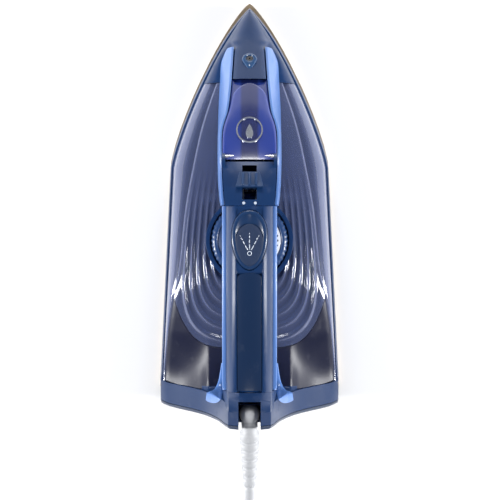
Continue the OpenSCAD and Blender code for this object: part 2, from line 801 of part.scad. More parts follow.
module spray_nozzle() color("#27446f") {
    at_nozzle() difference() {
        union() {
            translate([0, 0, -7]) cylinder(r = nozzle_r, h = 8.5);
            translate([0, 0, 1.5]) cylinder(r1 = nozzle_r, r2 = nozzle_r - 1.2, h = 1);
        }
        translate([0, 0, -3]) cylinder(r = 2.1, h = 10);
        translate([0, 0, -9]) cylinder(r = 0.9, h = 7, $fn = 24);
    }
}

module nozzle_tip() color("#101820") {
    at_nozzle() translate([0, 0, -3]) difference() {
        cylinder(r = 2.1, h = 4.8);
        translate([0, 0, 3]) cylinder(r = 0.6, h = 4, $fn = 24);
    }
}

trim_rows = 20;
trim_front_y = grid_y(110);
trim_rear_y = grid_y(4.6);
// Lower edge of the trim: it stands on the nose, then on the tank, then follows the hand gap
function trim_foot_z(y) =
    let (on_tank = deck_z(foot_x(y) - trim_t, y) + 0.4)
    max(
        y > nose_end_y ? foot_z(y) + 0.5 : on_tank,
        y < grid_y(13.4) ? under_z(y) : 0
    );
function trim_points(y, inset) =
    let (
        top = [ridge_x(y) - inset, y, crown_z(ridge_x(y), y) - 0.3],
        foot = [foot_x(y) - inset, y, trim_foot_z(y)]
    )
    [top, mix(top, foot, 0.5) + [0.5, 0, 0], foot];
module side_trim(side) {
    ys = [for (i = [0:trim_rows]) mix(trim_front_y, trim_rear_y, i / trim_rows)];
    outer = [for (y = ys) trim_points(y, 0)];
    inner = [for (y = ys) trim_points(y, trim_t)];
    if (side > 0) sheet_between(outer, inner);
    else sheet_between([for (r = outer) flip_x(back(r))], [for (r = inner) flip_x(back(r))]);
}
function back(row) = [for (i = [len(row) - 1:-1:0]) row[i]];

module side_trim_left() color(pale_blue) side_trim(-1);
module side_trim_right() color(pale_blue) side_trim(1);

// Wall that closes the front column towards the hand gap, from the tank up to the handle
module column_back() color(pale_blue) {
    back_t = 1.6;
    rows = [
        for (q = [[13.4, 64.6], [13.1, 74], [12.5, 84], [11.2, 91.5], [9, 98], [5.2, 103.6]])
            let (
                y = grid_y(q[0]),
                z = grid_z(q[1]),
                rise = clamp01((z - trim_foot_z(grid_y(15))) / (top_z(y) - trim_foot_z(grid_y(15)))),
                x = mix(foot_x(y), ridge_x(y), rise) - trim_t - shell_gap
            )
            [[-x, y, z], [x, y, z]]
    ];
    front = [for (row = rows) [for (q = row) q + [0, back_t, back_t / 4]]];
    sheet_between(front, rows);
}

// ---- Filler mouth and lid ------------------------------------------------------------------

neck_r = mouth_d / 2 + 1.6;
lid_lift = 0.6;
seat_drop = lid_t + lid_lift + 0.9;
lid_front_y = grid_y(84);
lid_rear_y = mouth_rear_y + 0.2;
lid_axis_y = lid_rear_y + 2;
lid_axis_z = crown_z(0, lid_axis_y) - lid_pin_d / 2 - 1.1;
lug_x = ridge_x(lid_axis_y) - 6;

// Skin across the ridge between its trims, sunk below the crown by drop
function ridge_skin(a, b, rows, cols, edge, drop) = [
    for (i = [0:rows])
        let (y = mix(a, b, i / rows))
        mirrored([
            for (j = [0:cols])
                let (x = (ridge_x(y) - edge) * (1 - j / cols))
                [x, y, crown_z(x, y) - drop]
        ])
];

module filler_mouth() color("#2d4a86") {
    inside = trim_t + shell_gap;
    seat = ridge_skin(nose_end_y - shell_gap, mouth_rear_y + 0.4, 8, 2, inside, seat_drop);
    difference() {
        union() {
            sheet_between(seat, lifted(seat, -wall));
            difference() {
                translate([0, neck_y, deck_z(0, neck_y) - wall])
                    cylinder(r = neck_r, h = grid_z(125) - deck_z(0, neck_y));
                sheet_between(lifted(seat, 60), lifted(seat, -wall / 2));
            }
        }
        translate([0, neck_y, well_z - 30]) cylinder(d = mouth_d, h = 120);
        translate([-30, lid_axis_y, lid_axis_z]) rotate([0, 90, 0]) cylinder(r = lid_pin_d / 2 + 3, h = 60);
    }
}

// Half-width of the lid: a rounded front that opens to the ridge's full width
lid_line = [[84, 7.5], [80, 9.6], [72, 11.4], [64, 13.2], [58, 15.6], [50, 17], [33, 17]];
function lid_half(y) = min(handle_w / 34.4 * line(lid_line, y), ridge_x(y) - trim_t - shell_gap - 0.15);
function lid_skin(drop, a, b, rows, cols, share) = [
    for (i = [0:rows])
        let (y = mix(a, b, i / rows))
        mirrored([
            for (j = [0:cols])
                let (x = lid_half(y) * share * (1 - j / cols))
                [x, y, crown_z(x, y) - drop]
        ])
];
module filler_lid() color("#3552a8") {
    outer = lid_skin(0, lid_front_y, lid_rear_y, 12, 3, 1);
    difference() {
        union() {
            sheet_between(outer, lifted(outer, -lid_t));
            for (side = [-1, 1]) translate([side * lug_x - 2, lid_axis_y, lid_axis_z])
                rotate([0, 90, 0]) cylinder(r = lid_pin_d / 2 + 1, h = 4);
        }
        translate([-30, lid_axis_y, lid_axis_z]) rotate([0, 90, 0])
            cylinder(r = lid_pin_d / 2 + 0.05, h = 60);
        // notches round the panel's lugs
        for (side = [-1, 1]) translate([side * (lug_x + 3.4) - 1.5, lid_axis_y - 10, lid_axis_z - 8])
            cube([3, 10 + lid_pin_d / 2 + 1.4, 20]);
    }
}

badge_y = grid_y(52);
badge_r = 8.4;
module lid_badge() color("#c9d3e6") {
    slope = atan((top_z(badge_y - 4) - top_z(badge_y + 4)) / 8);
    translate([0, badge_y, top_z(badge_y) + 0.15]) rotate([-slope, 0, 0]) {
        difference() {
            cylinder(r = badge_r, h = 0.5);
            translate([0, 0, -1]) cylinder(r = badge_r - 0.9, h = 3);
        }
        linear_extrude(0.5) polygon([
            for (a = [0:15:345]) [
                2.6 * sin(a) * pow(sin(a / 2), 1.1) * 1.2,
                4.6 * cos(a) - 0.8
            ]
        ]);
    }
}

module lid_seal() color("#9aa3b8") {
    outer = lid_skin(lid_t + 0.05, neck_y + mouth_d * 0.62, neck_y - mouth_d * 0.62, 4, 1, 0.72);
    sheet_between(outer, lifted(outer, -lid_lift));
}

module lid_hinge_pin() color(metal) {
    for (side = [-1, 1]) translate([side * lug_x - 4, lid_axis_y, lid_axis_z])
        rotate([0, 90, 0]) cylinder(d = lid_pin_d, h = 8, $fn = 24);
}

// ---- Control panel, slider ----------------------------------------------------------------

panel_front_y = mouth_rear_y - 1.2;
track_front_y = grid_y(29.5);
track_rear_y = grid_y(8);
slider_y = grid_y(20);
slider_half_len = 5;
panel_t = 2.4;

module control_panel() color(navy) {
    inside = trim_t + shell_gap;
    outer = ridge_skin(panel_front_y, panel_rear_y + shell_gap, 6, 3, inside, 0);
    difference() {
        union() {
            sheet_between(outer, lifted(outer, -panel_t));
            // lugs that carry the lid's hinge pins
            for (side = [-1, 1]) translate([side * (lug_x + 2.3) - (side > 0 ? 0 : 2), 0, 0])
                hull() {
                    translate([0, lid_axis_y, lid_axis_z]) rotate([0, 90, 0])
                        cylinder(r = lid_pin_d / 2 + 0.9, h = 2, $fn = 24);
                    translate([0, panel_front_y - 4, crown_z(lug_x, panel_front_y - 4) - 3])
                        cube([2, 3, 2]);
                }
        }
        translate([-track_w / 2, track_rear_y, grid_z(125)])
            cube([track_w, track_front_y - track_rear_y, 40]);
        for (side = [-1, 1]) translate([side * lug_x - 4.45, lid_axis_y, lid_axis_z])
            rotate([0, 90, 0]) cylinder(r = lid_pin_d / 2, h = 8.9, $fn = 24);
        // room for the lid's barrels
        for (side = [-1, 1]) translate([side * lug_x - 2.3, lid_axis_y, lid_axis_z])
            rotate([0, 90, 0]) cylinder(r = lid_pin_d / 2 + 1.4, h = 4.6);
        for (side = [-1, 1]) translate([side * lens_x, lens_y, grid_z(120)])
            cylinder(r = lens_r + 0.05, h = 60, $fn = 24);
    }
}

slide_slope = atan((top_z(track_rear_y) - top_z(track_front_y)) / (track_front_y - track_rear_y));
module at_slider() {
    translate([0, slider_y, top_z(slider_y) + 0.5]) rotate([-slide_slope, 0, 0]) children();
}
module steam_slider() color("#2a4c80") {
    at_slider() {
        // thumb piece, wider at its rear
        linear_extrude(2.2) polygon([
            [-8.6, -slider_half_len], [8.6, -slider_half_len], [6.2, slider_half_len], [-6.2, slider_half_len]
        ]);
        for (x = [-4, 0, 4]) translate([x - 0.6, -slider_half_len + 1, 2.2])
            cube([1.2, slider_half_len * 2 - 2, 0.9]);
        translate([-track_w / 2 + 0.3, -4, -panel_t - 1.6]) cube([track_w - 0.6, 8, panel_t + 1.7]);
        translate([-track_w / 2 - 1.6, -4, -panel_t - 3]) cube([track_w + 3.2, 8, 1.6]);
        translate([-1.4, -3, -panel_t - 7]) cube([2.8, 6, 4.2]);
    }
}

lens_x = 3.6;
lens_y = panel_rear_y + 1.9;
lens_r = 0.9;
module indicator_lenses() color("#dfe6f5") {
    for (side = [-1, 1]) translate([side * lens_x, lens_y, top_z(lens_y) - 4])
        cylinder(r = lens_r, h = 4.1, $fn = 24);
}

// ---- Handle ------------------------------------------------------------------------------

handle_rows = 13;
upper_half = handle_w / 2 - rail_w;
grip_drop = 1.9;
// Half section of the upper shell at y; inset carries it inwards, dip sinks its middle for the grip
function upper_half_section(y, dip) =
    let (z0 = rail_z(y) - 3.5, z1 = top_z(y), h = z1 - rail_z(y))
    [
        [upper_half - 0.1, y, z0],
        [upper_half, y, rail_z(y) + h * 0.3],
        [upper_half - 0.9, y, rail_z(y) + h * 0.58],
        [upper_half - 3.1, y, rail_z(y) + h * 0.84],
        [grip_w / 2 + 0.35, y, z1 - 0.9],
        [grip_w / 2 + 0.3, y, z1 - 0.9 - dip],
        [0, y, z1 - dip]
    ];
// Inner half section, wall inside the outer one
function upper_inner_half(y, dip) =
    let (o = upper_half_section(y, dip), t = wall, step_z = o[5][2] - t)
    [
        o[0] - [t, 0, 0],
        o[1] - [t, 0, 0],
        o[2] - [t, 0, 0.3 * t],
        o[3] - [0.7 * t, 0, 0.7 * t],
        [o[4][0] - 0.5 * t, y, step_z + 0.2 * t],
        [o[5][0] - 0.6 * t, y, step_z],
        o[6] - [0, 0, t]
    ];
function dip_at(y) = y < grip_front_y + 1 ? grip_drop : 0.02;
function upper_ys() = [
    for (i = [0:handle_rows]) mix(panel_rear_y, handle_rear_y + shell_gap, i / handle_rows)
];

// Egg outline with its blunt end forward, grown by t
function egg(y0, length, width, t) =
    [for (a = [0:360 / 32:359]) [
        (width / 2 + t) * sin(a) * (1 + 0.12 * cos(a)),
        y0 + (length / 2 + t) * cos(a)
    ]];

module handle_upper() color(navy) {
    outer = [for (y = upper_ys()) mirrored(upper_half_section(y, dip_at(y)))];
    inner = [for (y = upper_ys()) mirrored(upper_inner_half(y, dip_at(y)))];
    difference() {
        sheet_between(outer, inner);
        translate([0, 0, grid_z(135)]) linear_extrude(40) polygon(egg(button_y, button_len, button_w, 0.4));
        translate([-20, panel_rear_y - 3.4, 0]) cube([40, 10, grid_z(110)]);
    }
}

module handle_lower() color(pale_blue) {
    n = 14;
    ys = [for (i = [0:n]) mix(trim_rear_y - shell_gap, handle_rear_y + shell_gap + 0.4, i / n)];
    // the shell hangs below the rails, so its columns run from +X under the handle to -X
    outer = [for (y = ys) back(mirrored(lower_half_section(y, 0)))];
    inner = [for (y = ys) back(mirrored(lower_half_section(y, rail_w - 0.5)))];
    sheet_between(outer, inner);
}
function lower_half_section(y, t) =
    let (z1 = rail_z(y), z0 = min(under_z(y), z1 - 6), h = z1 - z0, w = handle_w / 2)
    [
        [w - 0.3 - t, y, z1],
        [w - t, y, z1 - h * 0.25],
        [w - 2.2 - t, y, z0 + max(h * 0.3, t)],
        [w - 7 - t * 0.6, y, z0 + h * 0.05 + t],
        [0, y, z0 + t]
    ];

grip_rows = 9;
module grip_insert() color("#0b2f60") {
    ys = [for (i = [0:grip_rows]) mix(grip_front_y - 6, handle_rear_y + 1.5, i / grip_rows)];
    outer = [
        for (y = ys) mirrored([
            for (j = [0:3]) let (x = (grip_w / 2) * (1 - j / 3))
                [x, y, top_z(y) - 0.9 * pow(2 * x / grip_w, 2)]
        ])
    ];
    sheet_between(outer, lifted(outer, -1.5));
}

// Rear column: carries on the handle's section down to the deck and back to the heel
column_rows = 7;
function column_half_section(y) =
    let (
        z1 = top_z(y),
        zr = rail_z(handle_rear_y),
        zb = deck_z(grid_x(17.5), y) + 0.6
    )
    [
        [grid_x(17.5), y, zb],
        [handle_w / 2 - 0.4, y, mix(zb, zr, 0.55)],
        [upper_half, y, zr],
        [upper_half - 1.4, y, mix(zr, z1, 0.55)],
        [grip_w / 2 - 1, y, z1 - 1.1],
        [0, y, z1]
    ];
slot_half = ball_d / 2 + 0.5;
pivot_y = grid_y(-127);
pivot_z = grid_z(104);
module behind_heel(depth) {
    translate([-100, heel_y(0, depth), 0]) rotate([heel_lean, 0, 0]) translate([0, -200, -50])
        cube([200, 200, 400]);
}
module guard_slot() {
    // room for the strain relief to tip up and down, open to the top and to the back
    translate([-slot_half, pivot_y - 60, pivot_z - 22]) cube([slot_half * 2, 60 + ball_d / 2 + 1, 100]);
}
module handle_rear() color(navy) {
    rear = heel_y(heel_top_z, heel_depth);
    ys = [for (i = [0:column_rows]) mix(handle_rear_y, rear, i / column_rows)];
    outer = [for (y = ys) mirrored(column_half_section(y))];
    difference() {
        sheet(outer, wall);
        behind_heel(heel_depth + 2.7);
        guard_slot();
    }
}

// ---- Heel --------------------------------------------------------------------------------

module in_heel() {
    translate([0, -body_len / 2 + (heel_top_z - skirt_z) * tan(heel_lean), skirt_z])
        rotate([90 + heel_lean, 0, 0]) children();
}
// Bell outline in the heel's own plane, drawn in by inset
bell_steps = 16;
bell_h = (heel_top_z + 1.5 - skirt_z) / cos(heel_lean);
module bell(inset) {
    function bx(h) = bell_x(skirt_z + h * cos(heel_lean));
    hs = [for (i = [0:bell_steps]) bell_h * pow(i / bell_steps, 0.9)];
    offset(delta = -inset) polygon(concat(
        [for (h = hs) [bx(h), h]],
        [for (i = [bell_steps:-1:0]) [-bx(hs[i]), hs[i]]]
    ));
}

module heel_frame() color(navy) {
    difference() {
        in_heel() translate([0, 0, -heel_depth - 2.4]) linear_extrude(heel_depth) difference() {
            bell(0.2);
            bell(2.6);
        }
        guard_slot();
    }
}

module rear_cover() color("#17365e") {
    difference() {
        in_heel() {
            translate([0, 0, -2.2]) linear_extrude(1.4) bell(0.2);
            translate([0, 0, -0.8]) linear_extrude(0.8) bell(1.4);
            translate([0, 0, -4.6]) linear_extrude(2.4) difference() {
                bell(3);
                bell(4.6);
            }
        }
        guard_slot();
        for (p = heel_screw_spots) in_heel() translate([p[0], p[1], -10])
            cylinder(d = screw_d + 0.2, h = 20, $fn = 24);
        for (p = heel_screw_spots) in_heel() translate([p[0], p[1], -0.9])
            cylinder(d = screw_head_d + 0.3, h = 5, $fn = 24);
    }
}

screw_d = 3;
screw_head_d = 5.4;
screw_bite = 5;
heel_screw_spots = [[-grid_x(36), grid_z(22) - skirt_z], [grid_x(36), grid_z(22) - skirt_z]];
module heel_screws() color(metal) {
    for (p = heel_screw_spots) in_heel() translate([p[0], p[1], 0]) {
        translate([0, 0, -12]) cylinder(d = screw_d, h = 11.2, $fn = 24);
        translate([0, 0, -0.8]) difference() {
            cylinder(d = screw_head_d, h = 0.7, $fn = 24);
            translate([-2, -0.35, 0.35]) cube([4, 0.7, 1]);
        }
    }
}

base_screw_spots = [
    [0, grid_y(74)], [-grid_x(47), grid_y(-52)], [grid_x(47), grid_y(-52)], [0, grid_y(-84)]
];
module base_screws() color(metal) {
    for (p = base_screw_spots) translate([p[0], p[1], 0]) {
        translate([0, 0, cover_z - screw_bite + 0.4])
            cylinder(d = screw_d, h = shield_z + shield_t - cover_z + screw_bite - 0.4, $fn = 24);
        translate([0, 0, shield_z + shield_t]) cylinder(d = screw_head_d, h = 1.6, $fn = 24);
        // spacer that holds the shield off the casting
        translate([0, 0, cover_z]) cylinder(d = screw_d + 3, h = shield_z - cover_z, $fn = 24);
    }
}

// ---- Spray button and pump -----------------------------------------------------------------

button_t = 3.4;
button_top_z = top_z(button_y) + 0.6;
module spray_button() color("#16406f") {
    difference() {
        union() {
            translate([0, 0, button_top_z - button_t]) linear_extrude(button_t - 0.9)
                polygon(egg(button_y, button_len, button_w, 0));
            translate([0, 0, button_top_z - 0.9]) linear_extrude(0.9)
                polygon(egg(button_y, button_len, button_w, -0.8));
            translate([0, pump_y, button_top_z - button_t - 3]) cylinder(r = 4, h = 3.2);
        }
        translate([0, 0, button_top_z - 0.6]) linear_extrude(2)
            polygon(egg(button_y - 3, button_len - 11, button_w - 5.5, 0.1));
        translate([0, pump_y, button_top_z - button_t - 4]) cylinder(r = 2.2, h = 4);
    }
}

module button_pad() color("#1b2f55") {
    translate([0, 0, button_top_z - 0.6]) linear_extrude(0.7)
        polygon(egg(button_y - 3, button_len - 11, button_w - 5.5, 0));
}

pump_r = pump_d / 2;
pump_z = under_z(pump_y - pump_r - 1.5) + rail_w;
pump_h = 15;
module pump_body() color("#e6e6e0") {
    translate([0, pump_y, pump_z]) difference() {
        union() {
            cylinder(r = pump_r + 1.3, h = pump_h);
            translate([inlet_x, 0, 3.4]) rotate([-90, 0, 0]) cylinder(r = tube_r - 0.6, h = 9, $fn = 24);
            translate([-inlet_x, 0, 3.4]) rotate([-90, 0, 0]) cylinder(r = tube_r - 0.6, h = 9, $fn = 24);
        }
        translate([0, 0, 1.6]) cylinder(r = pump_r, h = pump_h);
    }
}

module pump_piston() color("#b8c4d8") {
    translate([0, pump_y, 0]) {
        translate([0, 0, pump_z + 6]) cylinder(r = pump_r - 0.05, h = 4);
        translate([0, 0, pump_z + 10]) cylinder(r = 2.2, h = button_top_z - button_t - pump_z - 10);
    }
}

// The spring stands on the pump's rim, round the button's boss
spring_wire = 0.7;
spring_r = pump_r + 0.65;
spring_turns = 4;
module pump_spring() color("#c8c8c8") {
    z0 = pump_z + pump_h + spring_wire / 2 + 0.05;
    z1 = button_top_z - button_t - spring_wire / 2 - 0.05;
    n = 13 * spring_turns;
    translate([0, pump_y, 0]) tube_along([
        for (i = [0:n]) let (a = 360 * spring_turns * i / n)
            [spring_r * cos(a), spring_r * sin(a), mix(z0, z1, i / n)]
    ], spring_wire / 2, 6);
}

// ---- Water tubes -------------------------------------------------------------------------

tube_r = 1.9;
inlet_x = 5;
riser_x = inlet_x + 1.9;
inlet_y = grid_y(18);
module inlet_tube() color("#dfe3ea") {
    p = [
        [inlet_x, pump_y + 6.5, pump_z + 3.4],
        [inlet_x, pump_y + 10, pump_z + 3.4],
        [mix(inlet_x, riser_x, 0.6), mix(pump_y + 10, inlet_y, 0.75), pump_z],
        [riser_x, inlet_y, pump_z - 12],
        [riser_x, inlet_y, mix(pump_z, floor_z, 0.5)],
        [riser_x, inlet_y, floor_z + wall + 3]
    ];
    difference() {
        tube_along(spline(p, 3), tube_r, 8);
        translate([inlet_x, pump_y, pump_z + 3.4]) rotate([-90, 0, 0])
            cylinder(r = tube_r - 0.55, h = 9.4, $fn = 24);
    }
}

// A point behind the nozzle, on its axis
function behind(d) = [0, nozzle_y - d * cos(nozzle_tilt), top_z(nozzle_y) - d * sin(nozzle_tilt)];
module spray_tube() color("#dfe3ea") {
    side_x = -neck_r - tube_r - 0.6;
    p = [
        [-inlet_x, pump_y + 6.5, pump_z + 3.4],
        [-inlet_x, pump_y + 10, pump_z + 3.4],
        [-inlet_x - 1, grid_y(18), pump_z - 4],
        [side_x, grid_y(40), grid_z(98)],
        [side_x, grid_y(62), grid_z(82)],
        [-4.5, grid_y(80), behind(15)[2] + 3],
        behind(14.5),
        behind(11),
        behind(7.3)
    ];
    difference() {
        tube_along(spline(p, 4), tube_r, 8);
        translate([-inlet_x, pump_y, pump_z + 3.4]) rotate([-90, 0, 0])
            cylinder(r = tube_r - 0.55, h = 9.4, $fn = 24);
    }
}

// ---- Cord entry ----------------------------------------------------------------------------

guard_droop = 25;
trunnion_r = 2;
module at_guard() {
    translate([0, pivot_y, pivot_z]) rotate([90 + guard_droop, 0, 0]) children();
}
guard_end_r = cord_d / 2 + 1;
module cord_guard() color("#ececef") {
    at_guard() {
        sphere(d = ball_d);
        cylinder(r = ball_d / 2 - 1.4, h = 16);
        rotate_extrude() polygon(concat(
            [[0, 12], [ball_d / 2 - 1.4, 12], [ball_d / 2, 15]],
            [
                for (i = [0:4])
                    let (z = 18 + i * 6.4 * guard_len / 52, r = mix(ball_d / 2, guard_end_r, i / 5))
                    each [[r, z], [r - 1.1, z + 0.6], [r - 1.1, z + 2], [r - 0.2, z + 2.6]]
            ],
            [[guard_end_r, guard_len], [0, guard_len]]
        ));
    }
    for (side = [-1, 1]) translate([pivot_pin_start(side), pivot_y, pivot_z])
        rotate([0, 90, 0]) cylinder(r = trunnion_r, h = 5);
}
function pivot_pin_start(side) = side > 0 ? ball_d / 2 - 1 : -ball_d / 2 - 4;

cheek_x = slot_half + 0.2;
// the cross plate reaches the column's side walls
socket_half = upper_half - wall + 0.4;
module guard_socket() color("#23272f") {
    difference() {
        union() {
            for (side = [-1, 1]) translate([side > 0 ? cheek_x : -cheek_x - 2.6, 0, 0]) hull() {
                translate([0, pivot_y, pivot_z]) rotate([0, 90, 0]) cylinder(r = 5, h = 2.6, $fn = 32);
                translate([0, pivot_y + 9, pivot_z - 5]) cube([2.6, 4, 10]);
            }
            translate([-socket_half, pivot_y + 9, pivot_z - 5]) cube([2 * socket_half, 2.4, 10]);
        }
        translate([-30, pivot_y, pivot_z]) rotate([0, 90, 0]) cylinder(r = trunnion_r + 0.06, h = 60);
        translate([0, pivot_y + 5, pivot_z]) rotate([-90, 0, 0]) cylinder(r = cord_d / 2 + 0.5, h = 20);
    }
}

module cord_tail() color("#e4e4e8") {
    p = [
        [0, pivot_y + 11.8, pivot_z],
        [0, pivot_y + 15, pivot_z + 1.6],
        [0, block_y - 11, block_z + 5.2],
        [0, block_y - 8.6, block_z + 6.2],
        [0, block_y - 6.4, block_z + 6.4]
    ];
    tube_along(spline(p, 3), cord_d / 2, 8);
}

block_y = grid_y(-96);
block_z = under_z(block_y + 8) + rail_w + 0.3;
module terminal_block() color("#d6d3c4") {
    translate([0, block_y, block_z]) difference() {
        translate([-9, -6, 0]) cube([18, 14, 9]);
        for (x = [-6, 0, 6]) translate([x, -10, 4.5]) rotate([-90, 0, 0]) cylinder(r = 1.4, h = 30, $fn = 24);
        for (x = [-6, 0, 6]) translate([x, 1, 5]) cylinder(r = 1.5, h = 10, $fn = 24);
    }
}

// Live and neutral run to the heater's ends, earth runs to the casting
module power_leads() color("#b5483a") {
    lead_r = 1.1;
    down_y = handle_rear_y - 4.6;
    rear_face_y = block_y - 6.3;
    for (k = [-1, 0, 1]) {
        run_x = k * 8.2;
        goal = k == 0
            ? [0, earth_y, cover_z + lead_r]
            : [heater_end(k)[0], heater_end(k)[1], heater_post_top + 1 + lead_r + 0.3];
        // the earth lead leaves the block under the cord's tail
        inside = k == 0
            ? [
                [0, rear_face_y - 0.6, block_z + 0.9],
                [0, rear_face_y - 2.2, block_z - 2.5],
                [0, handle_rear_y + 6, grid_z(104)]
            ]
            : [
                [k * 6, rear_face_y, block_z + 4.5],
                [mix(k * 6, run_x, 0.6), rear_face_y - 6.2, block_z + 0.5],
                [run_x, handle_rear_y - 0.7, grid_z(104)]
            ];
        p = concat(inside, [
            [run_x, handle_rear_y + (k == 0 ? 2.5 : -0.7), grid_z(k == 0 ? 94 : 97)],
            [run_x, down_y, grid_z(k == 0 ? 82 : 86)],
            [run_x, down_y, grid_z(58)],
            [mix(goal[0], run_x, 0.3), mix(down_y, goal[1], 0.6), mix(grid_z(36), goal[2], 0.3)],
            [goal[0], goal[1], max(goal[2] + 4, shield_z + shield_t + 3)],
            goal
        ]);
        tube_along(spline(p, 3), lead_r, 6);
    }
}

// ---- Free cord, coil and plug ---------------------------------------------------------------

cord_r = cord_d / 2;
guard_tip = [
    0,
    pivot_y - (guard_len + 0.2) * cos(guard_droop),
    pivot_z - (guard_len + 0.2) * sin(guard_droop)
];
// Route from the strain relief to the coil, which it meets along the outer turn
lead_points = [
    [0, -186, 76], [0, -198, 66], [1, -209, 52], [3, -219, 36], [7, -230, 20.5], [12.5, -243, 10],
    [18.5, -256, 5.4], [24, -268, 4.4], [28, -280, 4.4], [29.7, -293, 4.4]
];
// Route from the plug to the outer turn
tail_points = [
    [-86, -297.5, 18.9], [-84.5, -306, 14], [-80, -316, 8.3], [-72.5, -326.5, 5.4], [-62, -335.5, 8],
    [-50.3, -341.8, 11.2]
];
coil_mid = [-21, -300];
coil_z = 1;
coil_out_r = coil_d / 2 + coil_across * cord_d / 2;
module cord_lead() color("#eeeef0") {
    tube_along(spline(concat([guard_tip], lead_points), 4), cord_r, 10);
    tube_along(spline(concat([plug_tail], tail_points), 4), cord_r, 10);
}

module cord_coil() color("#e9e9ec") {
    translate([coil_mid[0], coil_mid[1], coil_z]) rotate_extrude()
        translate([coil_d / 2 - coil_across * cord_r, 0])
        square([coil_across * cord_d, coil_up * cord_d]);
}

module cord_tie() color("#3b3d42") {
    h = coil_up * cord_d;
    w = coil_across * cord_d;
    translate([coil_mid[0], coil_mid[1], 0]) rotate([0, 0, 95])
        translate([coil_d / 2 - w / 2 - 2, -6, 0.1]) difference() {
            cube([w + 3.4, 12, h + 1.8]);
            translate([0.9, -1, 0.8]) cube([w + 1.6, 14, h + 0.2]);
        }
}

// The plug lies on its side beside the coil, its pins pointing towards the heel
plug_r = 19;
plug_len = 34;
plug_at = [-86, -236];
plug_guard_len = 24;
plug_z = plug_r + 0.2;
plug_tail = [plug_at[0], plug_at[1] - plug_len - plug_guard_len - 0.7, plug_z];
module at_plug() {
    // local z runs from the plug's face back along its cord
    translate([plug_at[0], plug_at[1], plug_z]) rotate([90, 0, 0]) children();
}
// the pins' thinner roots: how much thinner, how far in, and how far out of the plug they show
pin_root_step = 0.8;
plug_root_depth = 8;
pin_root_gap = 0.5;

module plug_body() color("#ececee") {
    at_plug() difference() {
        union() {
            cylinder(r = plug_r, h = 9);
            translate([0, 0, 9]) cylinder(r1 = plug_r, r2 = 12, h = plug_len - 16);
            translate([0, 0, plug_len - 7]) cylinder(r1 = 12, r2 = 8, h = 7);
            translate([0, 0, plug_len]) cylinder(r1 = 6.4, r2 = cord_r + 1, h = plug_guard_len);
        }
        for (side = [-1, 1]) translate([side * plug_pitch / 2, 0, -1])
            cylinder(d = plug_pin_d - pin_root_step, h = plug_root_depth + 1);
        // hollow that takes the socket's earth pin
        translate([0, 10, -1]) cylinder(d = plug_pin_d + 1.2, h = 20);
    }
}
module plug_pins() color(metal) {
    at_plug() for (side = [-1, 1]) translate([side * plug_pitch / 2, 0, 0]) {
        translate([0, 0, -pin_root_gap])
            cylinder(d = plug_pin_d - pin_root_step, h = plug_root_depth + pin_root_gap);
        translate([0, 0, 1 - plug_pin_len]) cylinder(d = plug_pin_d, h = plug_pin_len - 1 - pin_root_gap);
        translate([0, 0, -plug_pin_len]) cylinder(d1 = plug_pin_d - 1.6, d2 = plug_pin_d, h = 1);
    }
}

soleplate();
sole_casting();
heating_element();
element_terminals();
steam_cover();
thermostat();
thermostat_spindle();
spindle_bush();
thermal_fuse();
heat_shield();
skirt();
tank_floor();
tank_shell();
tank_window();
dial_well();
temperature_dial();
dial_cap();
rear_deck();
heel_frame();
rear_cover();
handle_rear();
nose_cover();
spray_nozzle();
nozzle_tip();
side_trim_left();
side_trim_right();
column_back();
filler_mouth();
filler_lid();
lid_badge();
lid_seal();
lid_hinge_pin();
control_panel();
steam_slider();
indicator_lenses();
handle_upper();
handle_lower();
grip_insert();
spray_button();
button_pad();
pump_body();
pump_piston();
pump_spring();
inlet_tube();
spray_tube();
valve_seat();
dosing_rod();
rod_gland();
guard_socket();
cord_guard();
cord_tail();
terminal_block();
power_leads();
base_screws();
heel_screws();
cord_lead();
cord_coil();
cord_tie();
plug_body();
plug_pins();
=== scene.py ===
"""Looks of a corded steam iron with a clear water tank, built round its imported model.

Lengths inside the classes are millimetres on the row's axes: the tip points to +Y, +X is to the
right and the soleplate's face is at z = 0. Meshes are made in metres.
"""

import json
import logging
import math
from collections.abc import Callable
from dataclasses import dataclass
from enum import Enum

import bmesh
import bpy
import numpy as np
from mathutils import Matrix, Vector

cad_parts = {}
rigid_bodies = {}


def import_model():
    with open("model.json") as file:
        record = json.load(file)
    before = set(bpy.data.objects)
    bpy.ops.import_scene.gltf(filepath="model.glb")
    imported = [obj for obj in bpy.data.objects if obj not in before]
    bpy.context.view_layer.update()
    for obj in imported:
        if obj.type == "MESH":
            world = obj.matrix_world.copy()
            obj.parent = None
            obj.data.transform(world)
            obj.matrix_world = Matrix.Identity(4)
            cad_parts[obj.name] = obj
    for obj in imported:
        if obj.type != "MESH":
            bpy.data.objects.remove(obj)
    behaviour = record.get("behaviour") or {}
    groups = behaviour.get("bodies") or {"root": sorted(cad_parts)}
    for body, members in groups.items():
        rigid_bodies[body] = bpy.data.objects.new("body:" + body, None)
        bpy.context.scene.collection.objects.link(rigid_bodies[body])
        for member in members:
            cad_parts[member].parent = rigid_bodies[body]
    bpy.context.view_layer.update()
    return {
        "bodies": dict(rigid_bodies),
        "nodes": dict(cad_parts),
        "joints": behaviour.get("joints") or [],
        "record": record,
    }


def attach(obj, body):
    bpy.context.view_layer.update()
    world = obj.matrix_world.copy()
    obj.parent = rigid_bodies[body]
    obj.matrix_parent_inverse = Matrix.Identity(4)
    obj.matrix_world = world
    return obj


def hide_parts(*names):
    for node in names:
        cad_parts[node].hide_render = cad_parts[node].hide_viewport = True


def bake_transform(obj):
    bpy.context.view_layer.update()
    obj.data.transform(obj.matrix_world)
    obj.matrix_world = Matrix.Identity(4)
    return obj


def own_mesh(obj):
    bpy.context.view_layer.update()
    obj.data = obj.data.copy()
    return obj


log = logging.getLogger("iron")
MM = 0.001
MERGE_M = 2e-6
